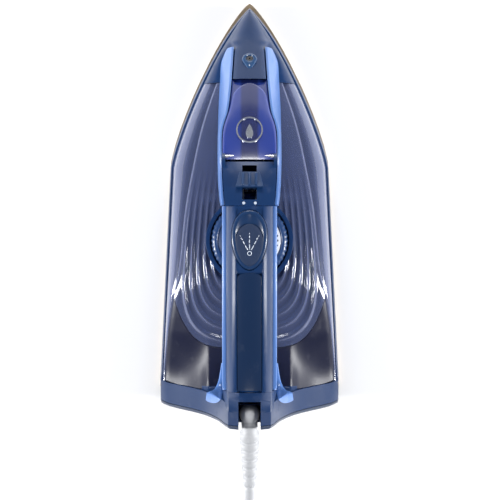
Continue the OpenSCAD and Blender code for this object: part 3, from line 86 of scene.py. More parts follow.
FLAT_DEGREES = 1.5
SHARP_DEGREES = 33
BEVEL_STEPS = 2
DUST = (0.6, 0.62, 0.68, 1.0)
GLINT = (0.9, 0.88, 0.8, 1)
DEEP_BLUE = (0.001, 0.004, 0.05, 1.0)


# ---- Shader building ---------------------------------------------------------------------------


class Signal:
    """A number carried by a shader socket; Python operators on it add Math nodes."""

    def __init__(self, kit: "ShaderKit", socket: bpy.types.NodeSocket) -> None:
        self.kit = kit
        self.socket = socket

    def _math(self, operation: str, first: object, second: object) -> "Signal":
        """Value of a new Math node on first and second."""
        node = self.kit.node("ShaderNodeMath", {"operation": operation}, {0: first, 1: second})
        return Signal(self.kit, node.outputs[0])

    def __add__(self, other: object) -> "Signal":
        """self + other."""
        return self._math("ADD", self, other)

    def __radd__(self, other: object) -> "Signal":
        """other + self."""
        return self._math("ADD", other, self)

    def __sub__(self, other: object) -> "Signal":
        """self - other."""
        return self._math("SUBTRACT", self, other)

    def __rsub__(self, other: object) -> "Signal":
        """other - self."""
        return self._math("SUBTRACT", other, self)

    def __mul__(self, other: object) -> "Signal":
        """self * other."""
        return self._math("MULTIPLY", self, other)

    def above(self, level: float, soft: float) -> "Signal":
        """0 below level, 1 above level + soft, smooth between."""
        node = self.kit.node("ShaderNodeMapRange", {"interpolation_type": "SMOOTHSTEP"},
                             {0: self, 1: level, 2: level + soft, 3: 0.0, 4: 1.0})
        return Signal(self.kit, node.outputs[0])


class ShaderKit:
    """One material's node tree."""

    def __init__(self, name: str) -> None:
        """Makes the material with a Principled shader on its output.

        Args:
            name: Name of the material.
        """
        self.material = bpy.data.materials.new(name)
        self.material.use_nodes = True
        self.tree = self.material.node_tree
        self.tree.nodes.clear()
        self.bsdf = self.node("ShaderNodeBsdfPrincipled")
        self.node("ShaderNodeOutputMaterial", {}, {0: self.bsdf.outputs[0]})
        self.where = self.node("ShaderNodeTexCoord").outputs["Object"]

    def node(self, kind: str, settings: dict[str, object] | None = None,
             inputs: dict | None = None) -> bpy.types.Node:
        """Adds a node.

        Args:
            kind: The node's type.
            settings: Its own settings, set before its sockets.
            inputs: Values, Signals or sockets by input name or number.

        Returns:
            The node.
        """
        made = self.tree.nodes.new(kind)
        for key, value in (settings or {}).items():
            setattr(made, key, value)
        for key, value in (inputs or {}).items():
            self.feed(made.inputs[key], value)
        return made

    def feed(self, socket: bpy.types.NodeSocket, value: object) -> None:
        """Sets or links one input socket.

        Args:
            socket: The input.
            value: A Signal or a socket to link, or a constant to set.
        """
        if isinstance(value, Signal):
            value = value.socket
        if isinstance(value, bpy.types.NodeSocket):
            self.tree.links.new(value, socket)
        else:
            socket.default_value = value

    def surface(self, inputs: dict[str, object]) -> bpy.types.Material:
        """Finishes the material.

        Args:
            inputs: Values, Signals or sockets by name of the Principled shader's input.

        Returns:
            The material.
        """
        for key, value in inputs.items():
            self.feed(self.bsdf.inputs[key], value)
        return self.material

    def noise(self, size_mm: float, detail: float, where: bpy.types.NodeSocket | None = None) -> Signal:
        """Noise from 0 to 1.

        Args:
            size_mm: About how wide its features are.
            detail: Octaves of finer noise.
            where: Coordinates in metres; the object's own if left out.

        Returns:
            The noise.
        """
        made = self.node("ShaderNodeTexNoise", {}, {
            "Vector": where or self.where, "Scale": 1000.0 / size_mm, "Detail": detail})
        return Signal(self, made.outputs[0])

    def mix(self, share: object, first: object, second: object) -> bpy.types.NodeSocket:
        """Colour between first and second by share."""
        made = self.node("ShaderNodeMix", {"data_type": "RGBA"}, {0: share, 6: first, 7: second})
        return made.outputs[2]

    def shade(self, share: Signal, colour: tuple, low: float, high: float) -> bpy.types.NodeSocket:
        """Colour times low to high by share."""
        return self.mix(share, rgba(colour, low), rgba(colour, high))

    def bump(self, height: Signal, depth_mm: float) -> bpy.types.NodeSocket:
        """Normal of a surface raised by height times depth_mm."""
        made = self.node("ShaderNodeBump", {}, {
            "Height": height, "Distance": depth_mm * MM, "Strength": 1.0})
        return made.outputs[0]


def rgba(colour: tuple[float, float, float], gain: float = 1.0) -> tuple[float, float, float, float]:
    """Colour with full alpha, made lighter or darker by gain."""
    return (*(min(1.0, max(0.0, c * gain)) for c in colour), 1.0)


class Gloss(Enum):
    """How polished a moulded surface is: roughness and clear coat."""

    HIGH = (0.18, 0.35)
    SATIN = (0.3, 0.2)
    PLAIN = (0.3, 0.0)
    SOFT = (0.46, 0.0)
    MATT = (0.62, 0.0)


@dataclass(frozen=True)
class Moulded:
    """Moulded plastic or rubber with faint clouding, fine grain and handling marks."""

    name: str
    colour: tuple[float, float, float]
    gloss: Gloss = Gloss.SATIN
    cloud: float = 0.12
    grain_mm: float = 0.35
    grain_depth: float = 0.01
    marks: float = 0.1
    shine: float = 0.5

    def build(self) -> bpy.types.Material:
        """Material: two noises shade the colour, marks lift the roughness, grain makes the bump.

        Returns:
            The material.
        """
        kit = ShaderKit(self.name)
        fine = kit.noise(2.2, 4.0)
        marks = kit.noise(7.0, 6.0).above(0.58, 0.12)
        shade = kit.shade(kit.noise(38.0, 2.0), self.colour, 1 - self.cloud, 1 + self.cloud)
        rough, coat = self.gloss.value
        return kit.surface({
            "Base Color": kit.mix(marks * 0.012, shade, DUST),
            "Roughness": rough + (fine - 0.5) * 0.08 + marks * self.marks,
            "Coat Weight": coat, "Coat Roughness": 0.08, "Specular IOR Level": self.shine,
            "Normal": kit.bump(kit.noise(self.grain_mm, 2.0), self.grain_depth),
        })


@dataclass(frozen=True)
class Clear:
    """Clear tinted plastic: it lets the inside show where it is looked through squarely."""

    name: str
    colour: tuple[float, float, float]
    alpha: float
    roughness: float = 0.08
    # edge: colour painted towards the rim of the view, a painted sheen of reflected light
    edge: tuple[float, float, float] = (0.5, 0.55, 0.75)
    stripe_mm: float = 0.0

    def build(self) -> bpy.types.Material:
        """Material: towards the rim of the view the plastic turns opaque, as thick clear plastic does, and
        pale, a painted sheen of reflected light.

        With stripe_mm, a band of deep blue about that wide runs along the middle, soft at its sides.

        Returns:
            The material.
        """
        kit = ShaderKit(self.name)
        rim = Signal(kit, kit.node("ShaderNodeLayerWeight", {}, {0: 0.35}).outputs[1])
        flow = kit.noise(30.0, 2.0)
        tint = kit.shade(flow, self.colour, 0.85, 1.15)
        if self.stripe_mm:
            x = Signal(kit, kit.node("ShaderNodeSeparateXYZ", {}, {0: kit.where}).outputs[0])
            beside = (x * x).above((self.stripe_mm * 0.36 * MM) ** 2, (self.stripe_mm * 0.4 * MM) ** 2)
            tint = kit.mix(beside, DEEP_BLUE, tint)
        return kit.surface({
            # painted sheen: the facing weight mixes the pale edge colour in towards the rim of the view
            "Base Color": kit.mix(rim * 0.6, tint, rgba(self.edge)),
            "Alpha": self.alpha + rim * (1 - self.alpha),
            "Roughness": self.roughness + flow * 0.05,
            "Coat Weight": 0.3, "Coat Roughness": 0.04, "Normal": kit.bump(kit.noise(9.0, 1.0), 0.02),
        })


@dataclass(frozen=True)
class Metal:
    """Bare or coated metal with streaks along one axis."""

    name: str
    colour: tuple[float, float, float]
    roughness: float = 0.3
    streak: tuple[float, float, float] = (1.0, 0.06, 1.0)
    speckle: float = 0.0
    metallic: float = 1.0

    def build(self) -> bpy.types.Material:
        """Material: stretched noise streaks the roughness, speckle lightens the colour.

        Returns:
            The material.
        """
        kit = ShaderKit(self.name)
        drawn = kit.node("ShaderNodeMapping", {}, {0: kit.where, 3: self.streak}).outputs[0]
        streaks = kit.noise(0.6, 4.0, drawn)
        dots = kit.noise(0.5, 1.0).above(0.62, 0.04)
        shade = kit.shade(kit.noise(25.0, 3.0), self.colour, 0.82, 1.1)
        return kit.surface({
            "Base Color": kit.mix(dots * self.speckle, shade, GLINT),
            "Roughness": self.roughness + (streaks - 0.5) * 0.2,
            "Metallic": self.metallic, "Normal": kit.bump(streaks, 0.006),
        })


@dataclass(frozen=True)
class Stippled:
    """Soft rubber covered with small round dimples."""

    name: str
    colour: tuple[float, float, float]
    pitch_mm: float = 0.9

    def build(self) -> bpy.types.Material:
        """Material: cell distance makes dots that stand up and catch light.

        Returns:
            The material.
        """
        kit = ShaderKit(self.name)
        cells = kit.node("ShaderNodeTexVoronoi", {}, {
            "Vector": kit.where, "Scale": 1000 / self.pitch_mm, "Randomness": 0.25})
        dots = 1 - Signal(kit, cells.outputs[0]).above(0.12, 0.3)
        shade = kit.shade(kit.noise(20.0, 2.0), self.colour, 0.85, 1.15)
        return kit.surface({
            "Base Color": kit.mix(dots * 0.25, shade, rgba(self.colour, 2.2)),
            "Roughness": 0.6 - dots * 0.15, "Normal": kit.bump(dots, 0.05),
        })


# ---- Meshes from grids -------------------------------------------------------------------------


def grid_quads(rows: int, cols: int, start: int = 0, close: bool = False) -> np.ndarray:
    """Quads of a grid of vertices; vertex (r, c) has the number start + r * cols + c.

    Args:
        rows: Rows of vertices.
        cols: Vertices in a row.
        start: Number of the first vertex.
        close: Joins the last column to the first.

    Returns:
        One quad a row.
    """
    r = np.arange(rows - 1)[:, None]
    c = np.arange(cols if close else cols - 1)[None, :]
    nxt = (c + 1) % cols
    quad = [r * cols + c, (r + 1) * cols + c, (r + 1) * cols + nxt, r * cols + nxt]
    return np.stack(np.broadcast_arrays(*quad), -1).reshape(-1, 4) + start


def linked(name: str, data: bpy.types.ID) -> bpy.types.Object:
    """New object for data, in the scene."""
    piece = bpy.data.objects.new(name, data)
    bpy.context.scene.collection.objects.link(piece)
    return piece


def clean(mesh: bpy.types.Mesh, flat_degrees: float = 0.0) -> None:
    """Merges a mesh's doubles, turns its faces outwards and shades it smooth.

    Args:
        mesh: The mesh, changed in place.
        flat_degrees: Faces that meet at less than this are joined, unless it is 0.
    """
    soup = bmesh.new()
    soup.from_mesh(mesh)
    bmesh.ops.remove_doubles(soup, verts=soup.verts, dist=MERGE_M)
    if flat_degrees:
        bmesh.ops.dissolve_limit(soup, angle_limit=math.radians(flat_degrees), verts=soup.verts,
                                 edges=soup.edges, delimit={"NORMAL"})
    bmesh.ops.recalc_face_normals(soup, faces=soup.faces)
    soup.to_mesh(mesh)
    soup.free()
    mesh.shade_smooth()


def link_mesh(name: str, points: np.ndarray, faces: list) -> bpy.types.Object:
    """Object with its place in its mesh: doubles merged, faces turned outwards.

    Args:
        name: Object name.
        points: Vertices in millimetres.
        faces: Lists of vertex numbers.

    Returns:
        The new object, smooth shaded.
    """
    mesh = bpy.data.meshes.new(name)
    mesh.from_pydata((np.asarray(points, float).reshape(-1, 3) * MM).tolist(), [], faces)
    clean(mesh)
    return linked(name, mesh)


def shell(name: str, outer: np.ndarray, inner: np.ndarray) -> bpy.types.Object:
    """Closed wall between two grids: both skins, and a strip round their shared border.

    Args:
        name: Object name.
        outer: Grid of (x, y, z) points, rows by columns.
        inner: Grid of the same shape.

    Returns:
        The new object.
    """
    rows, cols, _ = outer.shape
    half = rows * cols
    index = np.arange(half).reshape(rows, cols)
    border = np.concatenate([index[0, :-1], index[:-1, -1], index[-1, :0:-1], index[:0:-1, 0]])
    after = np.roll(border, -1)
    rim = np.stack([border, after, after + half, border + half], -1)
    faces = np.concatenate([grid_quads(rows, cols), grid_quads(rows, cols, half)[:, ::-1], rim])
    return link_mesh(name, np.concatenate([outer.reshape(-1, 3), inner.reshape(-1, 3)]), faces.tolist())


def slab(name: str, top: np.ndarray, thickness: float) -> bpy.types.Object:
    """Wall of even upright thickness under a grid."""
    return shell(name, top, top - np.array([0, 0, thickness]))


def loft(name: str, loops: np.ndarray, wrap: bool = False) -> bpy.types.Object:
    """Solid through closed loops.

    Args:
        name: Object name.
        loops: Points, loops by points round by three.
        wrap: Joins the last loop to the first; otherwise both ends are closed.

    Returns:
        The new object.
    """
    count, around, _ = loops.shape
    if wrap:
        loops = np.concatenate([loops, loops[:1]])
    faces = grid_quads(len(loops), around, close=True).tolist()
    if not wrap:
        faces += [list(range(around)), list(range((count - 1) * around, count * around))]
    return link_mesh(name, loops, faces)


def lathe(name: str, profile: np.ndarray, centre: tuple[float, float, float], sides: int = 96,
          waves: int = 0, depth: float = 0.0) -> bpy.types.Object:
    """Turned solid, its axis along +Z.

    The radius at angle a is radius + share * depth * cos(waves * a), which cuts grip flutes.

    Args:
        name: Object name.
        profile: Rows of [radius, height, share of the wave].
        centre: Foot of the axis.
        sides: Points round.
        waves: Flutes round.
        depth: Half the flutes' depth.

    Returns:
        The new object.
    """
    a = np.linspace(0, 2 * np.pi, sides, endpoint=False)[None, :]
    r = profile[:, :1] + profile[:, 2:3] * depth * np.cos(waves * a)
    return loft(name, np.stack(
        [centre[0] + r * np.cos(a), centre[1] + r * np.sin(a), centre[2] + profile[:, 1:2] + 0 * a], -1))


def circle(count: int) -> np.ndarray:
    """Unit circle, one (cos, sin) pair a row."""
    a = np.linspace(0, 2 * np.pi, count, endpoint=False)
    return np.stack([np.cos(a), np.sin(a)], -1)


def at_height(outline: np.ndarray, z: float) -> np.ndarray:
    """Plane outline lifted to height z."""
    return np.column_stack([outline, np.full(len(outline), z)])


def add_prism(verts: list, faces: list, outline: np.ndarray, low: float, high: float,
              start: int) -> int:
    """Adds an upright prism to a mesh in the making.

    Args:
        verts: Blocks of vertices so far; one is added.
        faces: Faces so far; the prism's are added.
        outline: Its plane outline.
        low: Height of its foot.
        high: Height of its top.
        start: Number of its first vertex.

    Returns:
        Number of the next free vertex.
    """
    n = len(outline)
    verts.append(np.concatenate([at_height(outline, low), at_height(outline, high)]))
    faces += grid_quads(2, n, start, close=True).tolist()
    faces += [list(range(start, start + n)), list(range(start + n, start + 2 * n))]
    return start + 2 * n


def tube(name: str, points: np.ndarray, radius: float, sides: int = 14) -> bpy.types.Object:
    """Round cord: at each point a ring square to the way the line runs there.

    Args:
        name: Object name.
        points: Middle line, one point a row.
        radius: Radius of the rings.
        sides: Points in a ring.

    Returns:
        The new object.
    """
    way = np.gradient(points, axis=0)
    way /= np.linalg.norm(way, axis=1, keepdims=True)
    side = np.cross(way, [0.0, 0.0, 1.0])
    side /= np.linalg.norm(side, axis=1, keepdims=True)
    up = np.cross(side, way)
    c, s = circle(sides).T[:, None, :, None]
    return loft(name, points[:, None] + radius * (c * side[:, None] + s * up[:, None]))


def soften(grid: np.ndarray, passes: int) -> np.ndarray:
    """Rounds each row's corners: every pass swaps a point for two, a quarter along each side.

    Args:
        grid: Grid of points; each row's ends stay.
        passes: How often it is done.

    Returns:
        The finer grid.
    """
    for _ in range(passes):
        here, following = grid[:, :-1], grid[:, 1:]
        pair = np.stack([0.75 * here + 0.25 * following, 0.25 * here + 0.75 * following], 2)
        grid = np.concatenate([grid[:, :1], pair.reshape(grid.shape[0], -1, 3), grid[:, -1:]], 1)
    return grid


def mirrored(half: np.ndarray) -> np.ndarray:
    """Rows listed from the +X edge to the middle, completed with their mirror image, from -X."""
    left = half * np.array([-1.0, 1.0, 1.0])
    return np.concatenate([left, half[:, -2::-1]], 1)


def fan(y: np.ndarray, half: np.ndarray, share: np.ndarray) -> tuple[np.ndarray, np.ndarray]:
    """Grids of x and y: at each station of y, its half-width times every share."""
    x = half[:, None] * share[None, :]
    return x, y[:, None] + 0 * x


def hermite(table: tuple, at: np.ndarray) -> np.ndarray:
    """Smooth curve through (y, value) pairs, flat beyond both ends.

    Between two pairs it is the cubic whose slopes are those of the chords round each pair.

    Args:
        table: The pairs, with falling y.
        at: Places on the curve.

    Returns:
        The values there.
    """
    p = np.asarray(table, float)
    ys, vs = p[:, 0], p[:, 1]
    slope = np.empty(len(p))
    slope[1:-1] = (vs[2:] - vs[:-2]) / (ys[2:] - ys[:-2])
    slope[0] = (vs[1] - vs[0]) / (ys[1] - ys[0])
    slope[-1] = (vs[-1] - vs[-2]) / (ys[-1] - ys[-2])
    at = np.asarray(at, float)
    i = np.clip(np.searchsorted(-ys, -at, side="left") - 1, 0, len(p) - 2)
    h = ys[i + 1] - ys[i]
    t = np.clip((at - ys[i]) / h, 0, 1)
    start = vs[i] * (1 + 2 * t) * (1 - t) ** 2 + slope[i] * h * t * (1 - t) ** 2
    return start + vs[i + 1] * t * t * (3 - 2 * t) + slope[i + 1] * h * t * t * (t - 1)


def ease(t: np.ndarray) -> np.ndarray:
    """Smooth step from 0 to 1."""
    c = np.clip(t, 0, 1)
    return c * c * (3 - 2 * c)


def lerp(a: object, b: object, t: object) -> np.ndarray:
    """Value between a and b."""
    return a + (b - a) * t


def rows_of(*columns: np.ndarray) -> np.ndarray:
    """Grid whose columns are the given (x, y, z) point lists, one point a row."""
    return np.stack([np.stack(np.broadcast_arrays(*c), -1) for c in columns], 1)


# ---- Dressing ----------------------------------------------------------------------------------


class Wardrobe:
    """Finishes by the record's material slot, built once each."""

    def __init__(self, finishes: dict) -> None:
        """Keeps the finishes by slot name."""
        self.finishes = finishes
        self.made: dict[str, bpy.types.Material] = {}

    def material(self, slot: str) -> bpy.types.Material:
        """The slot's material."""
        if slot not in self.made:
            self.made[slot] = self.finishes[slot].build()
        return self.made[slot]

    def dress(self, piece: bpy.types.Object, slot: str, body: str, *nodes: str, bevel: float = 0.0,
              angle: float = 38.0) -> None:
        """Gives a new piece its finish, its body and the nodes that it stands for.

        Args:
            piece: The new piece.
            slot: Material slot of the record.
            body: Body that it rides on.
            *nodes: Nodes that it replaces.
            bevel: Width of the rounding along its edges, in millimetres.
            angle: Edges sharper than this, in degrees, are rounded.
        """
        piece.data.materials.clear()
        piece.data.materials.append(self.material(slot))
        if bevel:
            round_edges(piece, bevel, angle)
        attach(piece, body)
        if nodes:
            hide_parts(*nodes)
        log.info("piece %s: %d vertices", piece.name, len(piece.data.vertices))


def round_edges(piece: bpy.types.Object, width: float, angle: float) -> None:
    """Adds a bevel.

    Args:
        piece: The piece.
        width: Width of the rounding, in millimetres.
        angle: Edges sharper than this, in degrees, are rounded.
    """
    bevel = piece.modifiers.new("rounding", "BEVEL")
    bevel.width = width * MM
    bevel.segments = BEVEL_STEPS
    bevel.limit_method = "ANGLE"
    bevel.angle_limit = math.radians(angle)
    bevel.harden_normals = True


def rounded_copy(frame: dict, node: str, name: str) -> bpy.types.Object:
    """Copy of a node's mesh with its doubles merged and its flat faces joined, ready to round.

    Args:
        node: Node to copy.
        name: Name of the copy.

    Returns:
        The new object.
    """
    mesh = frame["nodes"][node].data.copy()
    mesh.name = name
    clean(mesh, FLAT_DEGREES)
    mesh.materials.clear()
    mesh.set_sharp_from_angle(angle=math.radians(SHARP_DEGREES))
    return linked(name, mesh)


def bake_modifiers(piece: bpy.types.Object) -> None:
    """Puts the result of a piece's modifiers into its mesh and removes them.

    Args:
        piece: The piece.
    """
    graph = bpy.context.evaluated_depsgraph_get()
    graph.update()
    mesh = bpy.data.meshes.new_from_object(piece.evaluated_get(graph))
    piece.modifiers.clear()
    piece.data = mesh


# ---- The iron's own lines ----------------------------------------------------------------------


def reshape(piece: bpy.types.Object, rule: Callable[[np.ndarray], np.ndarray]) -> None:
    """Moves a new piece's vertices.

    Args:
        piece: The piece, with its own mesh.
        rule: Gives the new (n, 3) places from the old ones, in millimetres.
    """
    flat = np.empty(len(piece.data.vertices) * 3)
    piece.data.vertices.foreach_get("co", flat)
    piece.data.vertices.foreach_set("co", (rule(flat.reshape(-1, 3) / MM) * MM).ravel())
    piece.data.update()


@dataclass(frozen=True)
class BodyLines:
    """Outlines and heights that the shells share."""

    length: float = 288.0
    wall: float = 2.2
    gap: float = 0.3
    nose_half: float = 48.0
    nose_power: float = 1.28
    nose_len: float = 108.0
    flare: float = 12.5 / 259
    skirt_swell: float = 1.25
    heel_lean: float = 11.0
    heel_draw: float = 7.0
    seam_z: float = 27.0
    heel_top_z: float = 112.0
    handle_w: float = 34.4
    rail_w: float = 2.6
    grip_w: float = 15.0
    trim_t: float = 1.6
    shoulder_x_line: tuple = ((104, 16.6), (92, 20.2), (60, 30.9), (32, 37.2), (4, 42.2), (-36, 46.5),
                              (-54, 49.8), (-80, 54), (-108, 56.4))
    shoulder_z_line: tuple = ((104, 44), (92, 48), (60, 52.5), (32, 55), (4, 56.5), (-36, 56),
                              (-54, 53.5), (-80, 44), (-108, 31))
    deck_z_line: tuple = ((104, 50), (92, 53.5), (60, 59.5), (32, 62.5), (4, 64), (-40, 63.5),
                          (-87, 60), (-119, 58))
    bell_line: tuple = ((114, 0.1), (112.5, 9), (108, 13.4), (100, 16), (84, 19.6), (68, 25),
                        (53, 32.5), (38, 44.5), (28, 54), (20, 59.2), (3, 60.2))
    rim_line: tuple = ((60, 31.5), (54, 33.5), (44.5, 40), (32.5, 53), (25, 62), (17, 66), (0, 66))
    top_line: tuple = ((137.5, 27.5), (132, 36), (125, 44), (113, 56), (106, 64), (95, 77), (85, 88.5),
                       (78, 96), (65, 109), (52, 120.5), (40, 130.5), (32, 136), (20, 141.5), (6, 146),
                       (-17, 149.6), (-30, 150), (-60, 148.5), (-90, 143), (-108, 137.5),
                       (-120, 131), (-130, 123), (-138, 113))
    ridge_line: tuple = ((137.5, 0.6), (132, 3.6), (125, 6.4), (118, 9), (113, 11.2), (95, 12.5),
                         (81, 13.4), (65, 15.2), (57, 17.6), (50, 18.8), (33, 18.8), (20, 18.4),
                         (4, 17.2))
    foot_line: tuple = ((137.5, 0.8), (132, 4.6), (125, 8), (118, 11), (113, 13.2), (106, 16.8),
                        (100, 18.8), (88, 19.5), (60, 20.6), (20, 20.4), (8, 18.8), (2, 17.4))
    foot_z_line: tuple = ((137.5, 27.4), (132, 31), (125, 35), (113, 41.5), (100, 45.5), (88, 50.5))
    under_line: tuple = ((13.5, 66), (12.5, 84), (9, 98), (2, 107), (-10, 112.5), (-40, 115.5),
                         (-70, 114), (-92, 108), (-103, 98), (-108.5, 84), (-110.5, 64))
    rail_line: tuple = ((4, 128), (-17, 129), (-50, 128), (-90, 122), (-110, 114))
    crown: float = 3.2

    def half_width(self, y: np.ndarray) -> np.ndarray:
        """Soleplate half-width at y.

        It is 48 (1 - (1 - u)^1.28)^0.8, with u the share of the nose's length, plus a slow flare.

        Args:
            y: Stations.

        Returns:
            The half-widths.
        """
        d = np.maximum(0, self.length / 2 - y)
        u = np.minimum(1, d / self.nose_len)
        return self.nose_half * (1 - (1 - u) ** self.nose_power) ** 0.8 + self.flare * d

    def level_x(self, y: np.ndarray, back: float, side: float) -> np.ndarray:
        """Half-width of a level whose tip stands back and whose sides stand in."""
        return np.maximum(0, self.half_width(y + back) - side)

    def level_tip(self, back: float, side: float) -> float:
        """Tip of such a level."""
        return self.length / 2 - back - (side / self.nose_half) ** 1.25 * self.nose_len / self.nose_power

    def seam_x(self, y: np.ndarray) -> np.ndarray:
        """Half-width of the seam between skirt and tank."""
        return self.level_x(y, 5, 2.2)

    def shoulder_x(self, y: np.ndarray) -> np.ndarray:
        """Half-width where the side turns into the top."""
        return hermite(self.shoulder_x_line, y)

    def shoulder_z(self, y: np.ndarray) -> np.ndarray:
        """Height of that turn."""
        return hermite(self.shoulder_z_line, y)

    def rim_z(self, x: np.ndarray) -> np.ndarray:
        """Height of the heel's rim over half-width x."""
        return hermite(self.rim_line, x)

    def deck_z(self, x: np.ndarray, y: np.ndarray) -> np.ndarray:
        """Top of tank and deck: falls by the 2.4th power of x / shoulder, then meets the rim.

        Args:
            x: Places across.
            y: Stations.

        Returns:
            The heights.
        """
        r = np.clip(np.abs(x) / self.shoulder_x(y), 0, 1)
        crowned = lerp(hermite(self.deck_z_line, y), self.shoulder_z(y), r**2.4)
        rim = np.minimum(self.rim_z(np.abs(x)), 60) - 1
        return lerp(crowned, rim, ease((-76 - y) / 38))

    def side_top_z(self, y: np.ndarray) -> np.ndarray:
        """Top of the tank's side wall."""
        return np.maximum(self.seam_z + 0.9, self.deck_z(self.shoulder_x(y), y) - self.wall - self.gap)

    def top_z(self, y: np.ndarray) -> np.ndarray:
        """Height along the middle of the ridge."""
        return hermite(self.top_line, y)

    def ridge_x(self, y: np.ndarray) -> np.ndarray:
        """Half-width of the ridge's flat top."""
        return hermite(self.ridge_line, y)

    def foot_x(self, y: np.ndarray) -> np.ndarray:
        """Half-width of the ridge's foot."""
        return hermite(self.foot_line, y)

    def crown_z(self, x: np.ndarray, y: np.ndarray) -> np.ndarray:
        """Ridge top: a parabola across, lower by the crown at its edges."""
        return self.top_z(y) - self.crown * np.clip(np.abs(x) / self.ridge_x(y), 0, 1) ** 2

    def under_z(self, y: np.ndarray) -> np.ndarray:
        """Underside of the handle."""
        return hermite(self.under_line, y)

    def rail_z(self, y: np.ndarray) -> np.ndarray:
        """Height of the rails' upper edge."""
        return hermite(self.rail_line, y)

    def heel_y(self, z: np.ndarray, depth: float) -> np.ndarray:
        """The heel's leaning plane, depth inside the outermost one."""
        lean = math.radians(self.heel_lean)
        return -self.length / 2 + (self.heel_top_z - z) * math.tan(lean) + depth / math.cos(lean)


def level_loops(lines: BodyLines, levels: np.ndarray, depth: float, steps: int = 110) -> np.ndarray:
    """Closed loops of the body at several heights, from the tip round a straight heel.

    A swell eases in over 26 behind the tip, less where a level hardly stands in.

    Args:
        lines: The iron's lines.
        levels: Rows of [back, side, z, extra depth].
        depth: Depth of the heel plane.
        steps: Stations along each side.

    Returns:
        Loops of 2 * steps points.
    """
    t = np.linspace(0, 1, steps) ** 1.7
    loops = []
    for back, side, z, more in levels:
        ys = lerp(lines.level_tip(back, side), lines.heel_y(z, depth + more), t)
        swell = lines.skirt_swell * ease((142 - ys) / 26) * min(1.0, side / 1.2)
        xs = np.where(np.arange(steps) == 0, 0, lines.level_x(ys, back, side) + swell)
        right = np.stack([xs, ys, np.full(steps, z)], -1)
        left = right[:0:-1] * np.array([-1.0, 1.0, 1.0])
        loops.append(np.concatenate([right, left]))
    return np.array(loops)


# ---- Sub-assemblies ----------------------------------------------------------------------------


